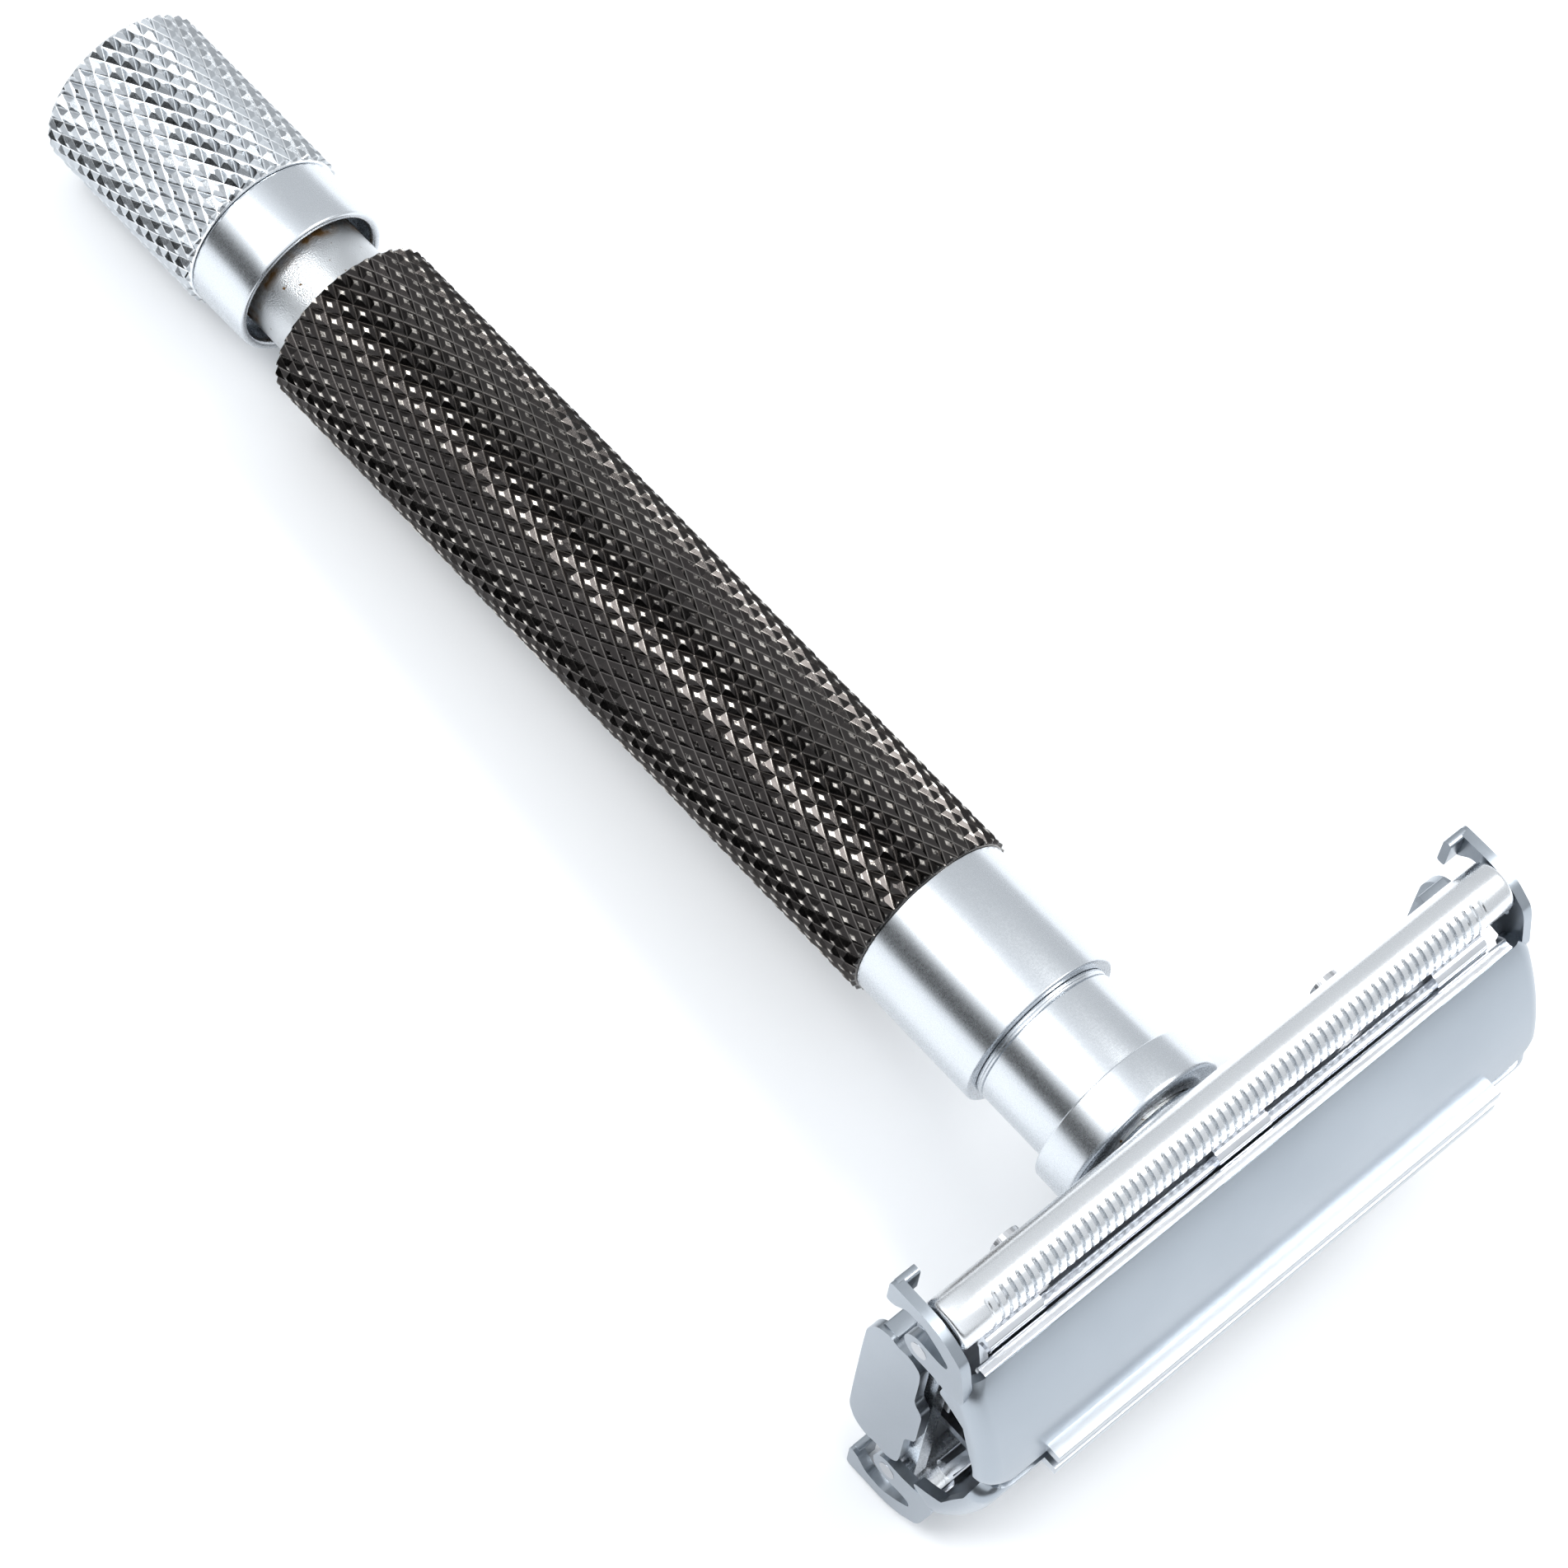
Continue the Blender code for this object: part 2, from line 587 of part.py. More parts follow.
def make_lift_rod():
    profile = [(0, ROD_TOP_Z), (SCREW_RADIUS, ROD_TOP_Z), (SCREW_RADIUS, ROD_Z), (0, ROD_Z)]
    place(turned("lift_rod", profile, SMALL_STEPS, closed=False), STEEL, 0.35)
    nut = ring_profile(BUSH_RADIUS, SLIDE_BORE, NUT_Z, NUT_Z + NUT_LENGTH)
    place(turned("lift_nut", nut, SMALL_STEPS), BRASS, 0.35)


def make_centre_bar():
    """The beam between the blade rests, with two lugs that locate the blade."""
    at = (0, 0, HEAD_Z)
    half = BAR_WIDTH / 2
    piece = block("centre_bar", (-BAR_HALF_LENGTH, -half, BAR_BOTTOM), (BAR_HALF_LENGTH, half, BAR_TOP))
    lug_half = half - 2 * JOIN
    lug_low = (BAR_BOTTOM + BAR_TOP) / 2
    for side in (-1, 1):
        middle = side * LUG_X
        lug = block(f"lug_{side + 1}", (middle - LUG_LENGTH / 2, -lug_half, lug_low),
                    (middle + LUG_LENGTH / 2, lug_half, LUG_TOP), CUTTERS)
        combine(piece, lug, "UNION", at)
    return place(piece, STEEL, 0.30, at=at)


def end_plate_outline():
    """Outline of an end plate: round lower corners and a tongue in the middle of its top."""
    half = END_PLATE_HALF_WIDTH
    corner = CORNER_RADIUS
    lower = (half - corner, END_PLATE_BOTTOM + corner)
    upper = (half - corner / 2, END_PLATE_TOP - corner / 2)
    right = arc(lower, corner, -90, 0) + arc(upper, corner / 2, 0, 90)
    right += [(TONGUE_HALF_WIDTH + corner / 2, END_PLATE_TOP), (TONGUE_HALF_WIDTH, END_PLATE_TONGUE)]
    return right + mirrored(right)


def span(side, inner, thickness):
    """The X range of a sheet that stands thickness deep, inner away from the head's middle."""
    return sorted((side * inner, side * (inner + thickness)))


def make_carriage_end(word, side):
    """One end of the carriage: a bracket, the two hinge pins it carries, and a plate over its middle."""
    at = (0, 0, HEAD_Z)
    outline = rectangle(-BRACKET_HALF_WIDTH, BRACKET_BOTTOM, BRACKET_HALF_WIDTH, BRACKET_TOP)
    bracket = prism(f"end_bracket_{word}", outline, *span(side, BRACKET_X, BRACKET_SHEET))
    plate = prism(f"end_plate_{word}", end_plate_outline(), *span(side, END_PLATE_X, END_PLATE_SHEET))
    for level, half in (("upper", 1), ("lower", -1)):
        y = half * PIVOT_Y
        low, high = span(side, BRACKET_X, PIN_OUTER_X - BRACKET_X)
        pin = rod_along_x(f"hinge_pin_{level}_{word}", PIN_RADIUS, low, high, 0, 0)
        place(pin, BRIGHT_STEEL, 0.25, at=(0, y, HEAD_Z + PIVOT_Z))
        low, high = span(side, BRACKET_X - BRACKET_SHEET, 3 * BRACKET_SHEET)
        bore = rod_along_x(f"{bracket.name}_bore_{level}", PIN_RADIUS + PIN_CLEARANCE, low, high,
                           y, PIVOT_Z, CUTTERS)
        combine(bracket, bore, "DIFFERENCE", at)
        turned_in = [half * (END_PLATE_HALF_WIDTH - JOIN), half * (END_PLATE_HALF_WIDTH - END_PLATE_SHEET)]
        side_y = sorted(turned_in)
        strip = rectangle(side_y[0], END_PLATE_BOTTOM + CORNER_RADIUS / 2, side_y[1], RETURN_TOP)
        low, high = span(side, END_PLATE_X - RETURN_REACH, RETURN_REACH + END_PLATE_SHEET / 2)
        fold = prism(f"{plate.name}_fold_{level}", strip, low, high, CUTTERS)
        combine(plate, fold, "UNION", at)
    place(bracket, STEEL, 0.30, at=at)
    place(plate, BRIGHT_STEEL, 0.28, at=at)


# ---------------------------------------------------------------- doors

def panel_arc(depth, low_y, high_y, steps):
    """Points of the panel's arc at a depth under its outer face, from high_y in to low_y."""
    centre, radius = PANEL_CENTRE, PANEL_RADIUS
    points = []
    for i in range(steps + 1):
        y = high_y + (low_y - high_y) * i / steps
        reach = radius - depth
        points.append((y, centre[1] + math.sqrt(reach ** 2 - (y - centre[0]) ** 2)))
    return points


def panel_outline():
    outer = panel_arc(0, DOOR_INNER_Y, DOOR_OUTER_Y, ARC_STEPS)
    inner = panel_arc(DOOR_SHEET, DOOR_INNER_Y, DOOR_OUTER_Y, ARC_STEPS)
    return outer + inner[::-1]


def flange_outline():
    """The end flange: a lobe under the panel, a boss round the hinge pin and an arm past the guard bar."""
    inset = DOOR_SHEET / 2
    lobe = panel_arc(inset, DOOR_INNER_Y + GAP, NOTCH_Y, ARC_STEPS)
    free_edge = [(DOOR_INNER_Y + GAP, LOBE_MIDDLE_Z)]
    free_edge += [(share * DOOR_OUTER_Y, z) for share, z in LOBE_EDGE]
    boss = arc((PIVOT_Y, PIVOT_Z), BOSS_RADIUS, 160, 290, ARC_STEPS)
    ear = [(EAR_INNER_Y, ARM_BEND_Z), (EAR_INNER_Y, ARM_END_Z), (EAR_OUTER_Y, ARM_END_Z)]
    arm = [(ARM_OUTER_Y, ARM_BEND_Z), (ARM_OUTER_Y, ARM_TOP_Z - ARM_SHOULDER),
           (ARM_OUTER_Y - ARM_SHOULDER, ARM_TOP_Z), (DOOR_OUTER_Y, ARM_TOP_Z)]
    return lobe + free_edge + boss + ear + arm


def shifted(outline, side):
    """An outline moved so that the door's pivot is at zero, mirrored for the lower door."""
    moved = [(y - PIVOT_Y, z - PIVOT_Z) for y, z in outline]
    return moved if side > 0 else mirrored(moved)


def make_door(name, side):
    """One door: a curved panel, a lip on its inner edge, and a flange that hangs from each end."""
    at = (0, side * PIVOT_Y, HEAD_Z + PIVOT_Z)
    panel_half = FLANGE_X + FLANGE_SHEET - JOIN
    edge_half = GUARD_LENGTH / 2 - DOOR_END_INSET
    piece = prism(name, shifted(panel_outline(), side), -panel_half, panel_half)
    lip_low = DOOR_INNER_Z - DOOR_SHEET / 2
    lip = rectangle(DOOR_INNER_Y + JOIN, lip_low, DOOR_INNER_Y + LIP_SHEET, DOOR_INNER_Z + LIP_HEIGHT)
    strip = prism(name + "_lip", shifted(lip, side), -LIP_HALF_LENGTH, LIP_HALF_LENGTH, CUTTERS)
    combine(piece, strip, "UNION", at)
    for end in (-1, 1):
        word = f"{name}_{end + 1}"
        low, high = sorted((end * edge_half, end * GUARD_LENGTH))
        notch = rectangle(NOTCH_Y, 0.0, 2 * NOTCH_Y, DOOR_INNER_Z)
        step = prism(word + "_notch", shifted(notch, side), low, high, CUTTERS)
        combine(piece, step, "DIFFERENCE", at)
        flange = prism(word + "_flange", shifted(flange_outline(), side),
                       *span(end, FLANGE_X, FLANGE_SHEET), CUTTERS)
        combine(piece, flange, "UNION", at)
        ear = rectangle(EAR_INNER_Y + 2 * JOIN, ARM_END_Z + 2 * JOIN, EAR_OUTER_Y - 2 * JOIN,
                        ARM_END_Z + EAR_SHEET)
        hook = prism(word + "_ear", shifted(ear, side),
                     *span(end, FLANGE_X - EAR_REACH, EAR_REACH + FLANGE_SHEET / 2), CUTTERS)
        combine(piece, hook, "UNION", at)
        low, high = span(end, FLANGE_X - FLANGE_SHEET, 3 * FLANGE_SHEET)
        bore = rod_along_x(word + "_bore", PIN_RADIUS + PIN_CLEARANCE, low, high, 0, 0, CUTTERS)
        combine(piece, bore, "DIFFERENCE", at)
    return place(piece, BRIGHT_STEEL, 0.32, at=at)


def shade_round(collection):
    """Smooth shading that keeps the sharp edges."""
    for piece in collection.objects:
        if piece.type == "MESH" and len(piece.data.polygons) > 0:
            piece.data.shade_smooth()
            piece.data.set_sharp_from_angle(angle=math.radians(30))


make_knob_body()
make_knob_collar()
make_lead_screw()
make_knob_rings()
make_handle_tube()
make_handle_rings()
make_bushes()
make_guard_plate()
make_blade_rest("blade_rest_upper", 1)
make_blade_rest("blade_rest_lower", -1)
make_rest_rivets()
make_lift_rod()
make_centre_bar()
make_carriage_end("left", -1)
make_carriage_end("right", 1)
make_door("door_upper", 1)
make_door("door_lower", -1)
shade_round(PARTS)
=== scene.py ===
"""Looks of a twist-to-open safety razor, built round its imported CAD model.

Every detailed piece is modelled in the razor's own frame, in millimetres, and stands on that frame:
  X runs along the head, Y from guard to guard, Z along the handle from the knob's end to the head.
An outline of the head is a list of (Y, Z), with Z counted from the guard bars' centre line. It shows
the upper side, and the lower side is its mirror image.
"""

import json
import math

import bmesh
import bpy
import numpy as np
from mathutils import Matrix, Vector


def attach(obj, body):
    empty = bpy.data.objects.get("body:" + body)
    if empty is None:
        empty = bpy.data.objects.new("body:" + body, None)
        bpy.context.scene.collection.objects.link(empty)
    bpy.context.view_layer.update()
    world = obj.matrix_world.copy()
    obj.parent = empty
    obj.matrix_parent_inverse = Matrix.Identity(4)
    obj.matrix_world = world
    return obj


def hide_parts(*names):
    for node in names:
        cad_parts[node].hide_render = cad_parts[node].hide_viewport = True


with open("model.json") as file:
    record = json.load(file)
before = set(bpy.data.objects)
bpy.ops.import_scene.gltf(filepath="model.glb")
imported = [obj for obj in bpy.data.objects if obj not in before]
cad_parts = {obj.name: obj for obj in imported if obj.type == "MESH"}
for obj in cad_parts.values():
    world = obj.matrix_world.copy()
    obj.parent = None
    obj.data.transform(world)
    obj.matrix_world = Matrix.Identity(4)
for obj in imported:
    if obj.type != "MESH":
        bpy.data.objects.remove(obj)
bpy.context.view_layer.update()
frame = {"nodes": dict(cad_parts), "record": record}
NODES = frame["nodes"]
JOINTS = {joint["name"]: joint for joint in frame["record"]["behaviour"]["joints"]}

# ---------------------------------------------------------------- the razor's own frame

HANDLE_AXIS = -Vector(JOINTS["knob_turn"]["axis"]).normalized()
HEAD_AXIS = Vector(JOINTS["lower_door_swing"]["axis"]).normalized()
UP_AXIS = HANDLE_AXIS.cross(HEAD_AXIS).normalized()
KNOB_END = Vector(JOINTS["knob_turn"]["pos_m"])
MM = 0.001
ROTATION = Matrix((HEAD_AXIS, UP_AXIS, HANDLE_AXIS)).transposed()
RAZOR = Matrix.Translation(KNOB_END) @ ROTATION.to_4x4() @ Matrix.Scale(MM, 4)
SIDES = (("upper", 1), ("lower", -1))
ENDS = (("left", -1), ("right", 1))


def cad_box(node):
    """A CAD node's lowest and highest corners in the razor's frame, in millimetres."""
    inverse = RAZOR.inverted()
    points = np.array([inverse @ vertex.co for vertex in NODES[node].data.vertices])
    return points.min(0), points.max(0)


def cad_ring(node):
    """A turned CAD node's outer radius, rear end and front end, in millimetres."""
    low, high = cad_box(node)
    return (high[0] - low[0]) / 2, low[2], high[2]


# ---------------------------------------------------------------- outlines

def ramp(value, start, end):
    """A value's share of the way from start to end, kept between 0 and 1."""
    return min(1.0, max(0.0, (value - start) / (end - start)))


def span(side, near, far):
    """Two distances from the middle, taken to one side of it and put in rising order."""
    return sorted((side * near, side * far))


def arc(centre, radius, start, end, steps):
    """Points on an arc, its angles in degrees."""
    points = []
    for i in range(steps + 1):
        angle = math.radians(start + (end - start) * i / steps)
        points.append((centre[0] + radius * math.cos(angle), centre[1] + radius * math.sin(angle)))
    return points


def rectangle(left, right, bottom, top):
    return [(left, bottom), (right, bottom), (right, top), (left, top)]


def softened(outline, radius, steps=4):
    """The same outline with each corner eased over a radius, or less where the sides are short."""
    count = len(outline)
    made = []
    for i, corner in enumerate(outline):
        here = Vector(corner)
        before = Vector(outline[i - 1]) - here
        after = Vector(outline[(i + 1) % count]) - here
        reach = min(radius, before.length * 0.48, after.length * 0.48)
        start = here + before.normalized() * reach
        end = here + after.normalized() * reach
        for k in range(steps + 1):
            t = k / steps
            made.append(tuple(start * (1 - t) ** 2 + here * (2 * t * (1 - t)) + end * t ** 2))
    return made


def mirrored(outline):
    return [(-y, z) for y, z in reversed(outline)]


def on_side(outline, side):
    """The outline itself for the upper side, or its mirror image for the lower side."""
    return outline if side > 0 else mirrored(outline)


# ---------------------------------------------------------------- mesh makers

REPLACED = set()


def mesh_from(name, work):
    """Turn finished bmesh work into a mesh."""
    bmesh.ops.remove_doubles(work, verts=work.verts, dist=1e-5)
    bmesh.ops.recalc_face_normals(work, faces=work.faces)
    mesh = bpy.data.meshes.new(name)
    work.to_mesh(mesh)
    work.free()
    return mesh


def placed(name, mesh):
    """A mesh object in the razor's frame."""
    item = bpy.data.objects.new(name, mesh)
    bpy.context.scene.collection.objects.link(item)
    item.matrix_world = RAZOR
    return item


def new_piece(name, work, material, body, nodes, sharp=35):
    """A finished piece that rides on a body and stands for CAD nodes."""
    mesh = mesh_from(name, work)
    piece = placed(name, mesh)
    mesh.materials.append(material)
    mesh.shade_smooth()
    mesh.set_sharp_from_angle(angle=math.radians(sharp))
    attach(piece, body)
    if nodes:
        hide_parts(*nodes)
        REPLACED.update(nodes)
    return piece


def lathe(work, profile, steps=160):
    """A closed profile of (radius, height) points turned about Z."""
    rings = []
    for k in range(steps):
        angle = math.tau * k / steps
        cosine = math.cos(angle)
        sine = math.sin(angle)
        rings.append([work.verts.new((r * cosine, r * sine, z)) for r, z in profile])
    count = len(profile)
    for k in range(steps):
        near = rings[k]
        far = rings[(k + 1) % steps]
        for i in range(count):
            j = (i + 1) % count
            corners = [near[i], far[i], far[j], near[j]]
            if profile[i][0] < 1e-6:
                corners = [near[i], far[j], near[j]]
            if profile[j][0] < 1e-6:
                corners = [near[i], far[i], near[j]]
            work.faces.new(corners)


def prism(work, outline, low, high):
    """A flat (Y, Z) outline extruded along X between two places."""
    near = [work.verts.new((low, y, z)) for y, z in outline]
    far = [work.verts.new((high, y, z)) for y, z in outline]
    count = len(outline)
    for i in range(count):
        j = (i + 1) % count
        work.faces.new((near[i], near[j], far[j], far[i]))
    work.faces.new(near[::-1])
    work.faces.new(far)


HAIRLINE = 0.00012          # in millimetres, like every size of a piece


def ease_edges(piece, segments=3, angle=50):
    """A bevel too fine to see, which lets the shading run softly over the sharp edges."""
    step = piece.modifiers.new("edge", "BEVEL")
    step.width = HAIRLINE
    step.segments = segments
    step.limit_method = "ANGLE"
    step.angle_limit = math.radians(angle)
    step.use_clamp_overlap = True


# ---------------------------------------------------------------- materials

GRAIN_DEPTH = 0.000002      # bump distances, in metres
MARK_DEPTH = 0.000003
KNURL_GRAIN_DEPTH = 0.000006
NECK_GRAIN_DEPTH = 0.03     # strong, so that the tube's reflections spread softly
HIDDEN_GRAIN_DEPTH = 0.00002


class Nodes:
    """A material's node tree with short calls for the nodes used here."""

    def __init__(self, name, metallic):
        self.material = bpy.data.materials.new(name)
        self.material.use_nodes = True
        self.tree = self.material.node_tree
        self.shader = self.tree.nodes["Principled BSDF"]
        self.shader.inputs["Metallic"].default_value = metallic
        self.place = self.add("ShaderNodeTexCoord").outputs["Object"]

    def add(self, kind, **settings):
        node = self.tree.nodes.new(kind)
        for key, value in settings.items():
            setattr(node, key, value)
        return node

    def link(self, source, target):
        self.tree.links.new(source, target)

    def scaled(self, scale):
        """The object coordinates, stretched by a factor on each axis."""
        node = self.add("ShaderNodeMapping")
        node.inputs["Scale"].default_value = scale
        self.link(self.place, node.inputs["Vector"])
        return node.outputs["Vector"]

    def along(self, axis):
        """The object coordinate along one axis."""
        node = self.add("ShaderNodeSeparateXYZ")
        self.link(self.place, node.inputs["Vector"])
        return node.outputs[axis]

    def radius(self):
        """The distance of a point from the handle's axis."""
        squares = self.maths("ADD", self.maths("POWER", self.along("X"), 2.0),
                             self.maths("POWER", self.along("Y"), 2.0))
        return self.maths("SQRT", squares, 0.0)

    def noise(self, scale, detail=3.0, stretch=(1, 1, 1), roughness=0.5):
        node = self.add("ShaderNodeTexNoise")
        node.inputs["Scale"].default_value = scale
        node.inputs["Detail"].default_value = detail
        node.inputs["Roughness"].default_value = roughness
        self.link(self.scaled(stretch), node.inputs["Vector"])
        return node.outputs["Fac"]

    def ranged(self, source, low, high, to_low=0.0, to_high=1.0):
        node = self.add("ShaderNodeMapRange")
        node.inputs["From Min"].default_value = low
        node.inputs["From Max"].default_value = high
        node.inputs["To Min"].default_value = to_low
        node.inputs["To Max"].default_value = to_high
        self.link(source, node.inputs["Value"])
        return node.outputs["Result"]

    def maths(self, operation, first, second):
        node = self.add("ShaderNodeMath", operation=operation)
        for socket, value in zip(node.inputs, (first, second)):
            if isinstance(value, (int, float)):
                socket.default_value = value
            else:
                self.link(value, socket)
        return node.outputs["Value"]

    def mixed(self, factor, first, second):
        """One colour blended into another by a factor."""
        node = self.add("ShaderNodeMix", data_type="RGBA")
        self.link(factor, node.inputs["Factor"])
        for socket, value in ((node.inputs[6], first), (node.inputs[7], second)):
            if isinstance(value, tuple):
                socket.default_value = (*value, 1.0)
            else:
                self.link(value, socket)
        return node.outputs[2]

    def bump(self, height, strength, distance):
        node = self.add("ShaderNodeBump")
        node.inputs["Strength"].default_value = strength
        node.inputs["Distance"].default_value = distance
        self.link(height, node.inputs["Height"])
        self.link(node.outputs["Normal"], self.shader.inputs["Normal"])

    def finish(self, colour, roughness):
        self.link(colour, self.shader.inputs["Base Color"])
        self.link(roughness, self.shader.inputs["Roughness"])
        return self.material


def satin_metal(name, colour, shade, roughness, turned=False):
    """Blasted or turned plated metal: soft cloudy tone, fine grain and a slightly uneven gloss."""
    nodes = Nodes(name, 1.0)
    cloud = nodes.noise(0.15, 3.0)
    grain = nodes.noise(7.0, 2.0)
    fine = nodes.noise(5.0, 3.0, (0.02, 0.02, 3.0)) if turned else nodes.noise(16.0, 2.0)
    tone = nodes.mixed(nodes.ranged(cloud, 0.3, 0.7), colour, shade)
    gloss = nodes.ranged(grain, 0.3, 0.7, roughness - 0.02, roughness + 0.02)
    nodes.bump(fine, 0.5, GRAIN_DEPTH)
    return nodes.finish(tone, gloss)


def polished_metal(name, colour, roughness):
    """Bright plating with faint hairline marks."""
    nodes = Nodes(name, 1.0)
    marks = nodes.noise(2.0, 5.0, (0.15, 3.0, 3.0))
    cloud = nodes.noise(0.4, 3.0)
    dull = tuple(c * 0.9 for c in colour)
    tone = nodes.mixed(nodes.ranged(cloud, 0.4, 0.7), colour, dull)
    gloss = nodes.ranged(marks, 0.35, 0.7, roughness, roughness + 0.09)
    nodes.bump(marks, 0.4, MARK_DEPTH)
    return nodes.finish(tone, gloss)


def knurled_metal(name, floor, side, tip, radius, roughness, wear_and_glint):
    """Knurled metal, toned by height: grooves painted lighter than the slopes, a painted light and shade,
    and tips lightened by wear and a painted highlight.
    """
    nodes = Nodes(name, 1.0)
    height = nodes.ranged(nodes.radius(), radius - KNURL_DEPTH, radius)
    speck = nodes.noise(2.6, 4.0, roughness=0.65)
    patch = nodes.noise(0.16, 3.0)
    # The grooves' tone (floor) is painted lighter than the slopes' tone (side): painted light and shade on
    # the knurl.
    low = nodes.mixed(nodes.ranged(height, 0.03, 0.17), floor, side)
    # Lighter tips: partly real wear, partly a painted highlight on the diamonds.
    worn_and_glint = nodes.maths("MULTIPLY", nodes.ranged(height, 0.80, 0.98),
                       nodes.ranged(nodes.maths("ADD", speck, patch), wear_and_glint, wear_and_glint + 0.30))
    tone = nodes.mixed(worn_and_glint, low, tip)
    gloss = nodes.ranged(speck, 0.3, 0.7, roughness - 0.05, roughness + 0.07)
    nodes.bump(nodes.noise(9.0, 3.0), 0.5, KNURL_GRAIN_DEPTH)
    return nodes.finish(tone, gloss)


def stained_metal(name, colour, stain, roughness, rear):
    """Plated tube with a few brown spots and a thin film of dried residue near its rear end."""
    nodes = Nodes(name, 0.9)
    spots = nodes.ranged(nodes.noise(1.6, 3.0, roughness=0.6), 0.66, 0.70)
    deep = nodes.ranged(nodes.along("Z"), rear + 0.5, rear - 0.1)
    film = nodes.maths("MULTIPLY", deep, nodes.ranged(nodes.noise(0.7, 4.0), 0.40, 0.60))
    both = nodes.maths("MAXIMUM", spots, film)
    tone = nodes.mixed(both, colour, stain)
    gloss = nodes.ranged(both, 0.0, 1.0, roughness, 0.62)
    nodes.bump(nodes.noise(12.0, 3.0), 0.18, NECK_GRAIN_DEPTH)
    return nodes.finish(tone, gloss)


KNOB_RADIUS, KNOB_REAR, KNOB_FRONT = cad_ring("knob_body")
GRIP_RADIUS, GRIP_REAR, GRIP_FRONT = cad_ring("grip_sleeve")
KNURL_STARTS = 36
KNURL_PITCH = 1.98
KNURL_DEPTH = 0.27

SATIN = satin_metal("satin_chrome", (0.52, 0.55, 0.585), (0.49, 0.52, 0.555), 0.31)
TURNED = satin_metal("satin_chrome_turned", (0.64, 0.67, 0.705), (0.61, 0.64, 0.675), 0.27, turned=True)
# A darker copy of the satin chrome for the doors, their arms and the end plates: painted shade, for the
# duller light that these faces catch.
SHADED_SATIN = satin_metal("satin_chrome_painted_shade", (0.355, 0.39, 0.43), (0.33, 0.365, 0.405), 0.30)
# A lighter copy of the satin chrome for the guard bars: painted light, for the bright light that falls on
# their tops.
LIT_SATIN_BARS = satin_metal("satin_chrome_bars_painted_light", (0.78, 0.80, 0.82), (0.74, 0.76, 0.785), 0.27)
BRIGHT = polished_metal("bright_chrome", (0.80, 0.82, 0.86), 0.12)
STEEL = satin_metal("turned_steel", (0.52, 0.53, 0.55), (0.44, 0.45, 0.47), 0.32, turned=True)
BRASS = satin_metal("machined_brass", (0.70, 0.52, 0.26), (0.60, 0.43, 0.20), 0.33, turned=True)
NECK = stained_metal("plated_tube", (0.55, 0.57, 0.59), (0.14, 0.08, 0.03), 0.28,
                     rear=cad_ring("knob_collar")[2])
# floor and side are painted light and shade of the knurl; tip is wear with a painted highlight.
KNOB_METAL = knurled_metal("knurled_chrome", floor=(0.88, 0.90, 0.92), side=(0.44, 0.465, 0.49),
                           tip=(0.62, 0.645, 0.67), radius=KNOB_RADIUS, roughness=0.20, wear_and_glint=0.60)
GRIP_METAL = knurled_metal("gunmetal_knurl", floor=(0.14, 0.131, 0.124), side=(0.036, 0.033, 0.032),
                           tip=(0.66, 0.62, 0.57), radius=GRIP_RADIUS, roughness=0.19, wear_and_glint=0.85)


# ---------------------------------------------------------------- knurled pieces

KNOB_TIP = 0.24             # how much of a diamond's width its flat tip takes
GRIP_TIP = 0.22
KNOB_REAR_EDGE = 0.35       # what an end's chamfer takes off the knurl's length
KNOB_FRONT_EDGE = 0.18
GRIP_EDGE = 0.14
SCREW_BORE = 1.8
SCREW_BORE_DEPTH = 9.9
NEARLY_ZERO = 0.001


def knurl(work, radius, low, high, tip):
    """A sleeve of raised diamonds between two heights."""
    rows = int((high - low) / (KNURL_PITCH / 2)) + 4
    base = low - KNURL_PITCH
    step = math.tau / KNURL_STARTS
    corners = {}

    def corner(i, j):
        """A crossing of two grooves, i counted in half steps round and j in half pitches along."""
        key = (i % (2 * KNURL_STARTS), j)
        if key not in corners:
            angle = key[0] * step / 2
            reach = radius - KNURL_DEPTH
            corners[key] = work.verts.new((reach * math.cos(angle), reach * math.sin(angle),
                                           base + j * KNURL_PITCH / 2))
        return corners[key]

    for j in range(1, rows):
        for i in range(KNURL_STARTS):
            middle = 2 * i + (j % 2)
            ring = [corner(middle - 1, j), corner(middle, j - 1), corner(middle + 1, j),
                    corner(middle, j + 1)]
            angle = middle * step / 2
            z = base + j * KNURL_PITCH / 2
            top = []
            for turn, along in ((-1, 0), (0, -1), (1, 0), (0, 1)):
                a = angle + turn * step / 2 * tip
                top.append(work.verts.new((radius * math.cos(a), radius * math.sin(a),
                                           z + along * KNURL_PITCH / 2 * tip)))
            for k in range(4):
                m = (k + 1) % 4
                work.faces.new((ring[k], ring[m], top[m], top[k]))
            work.faces.new(top)
    for place, normal in ((low, (0, 0, -1)), (high, (0, 0, 1))):
        everything = work.verts[:] + work.edges[:] + work.faces[:]
        bmesh.ops.bisect_plane(work, geom=everything, dist=1e-5, plane_co=(0, 0, place),
                               plane_no=normal, clear_outer=True)


def rim(work, place, stages):
    """Carry the open edge at a height inwards through rings of (radius, height)."""
    loop = [edge for edge in work.edges if len(edge.link_faces) == 1
            and all(abs(vertex.co.z - place) < 1e-3 for vertex in edge.verts)]
    for radius, z in stages:
        made = bmesh.ops.extrude_edge_only(work, edges=loop)["geom"]
        for vertex in [item for item in made if isinstance(item, bmesh.types.BMVert)]:
            reach = math.hypot(vertex.co.x, vertex.co.y)
            scale = min(radius / reach, 1.0)
            vertex.co = (vertex.co.x * scale, vertex.co.y * scale, z)
        loop = [item for item in made if isinstance(item, bmesh.types.BMEdge)
                and len(item.link_faces) == 1]


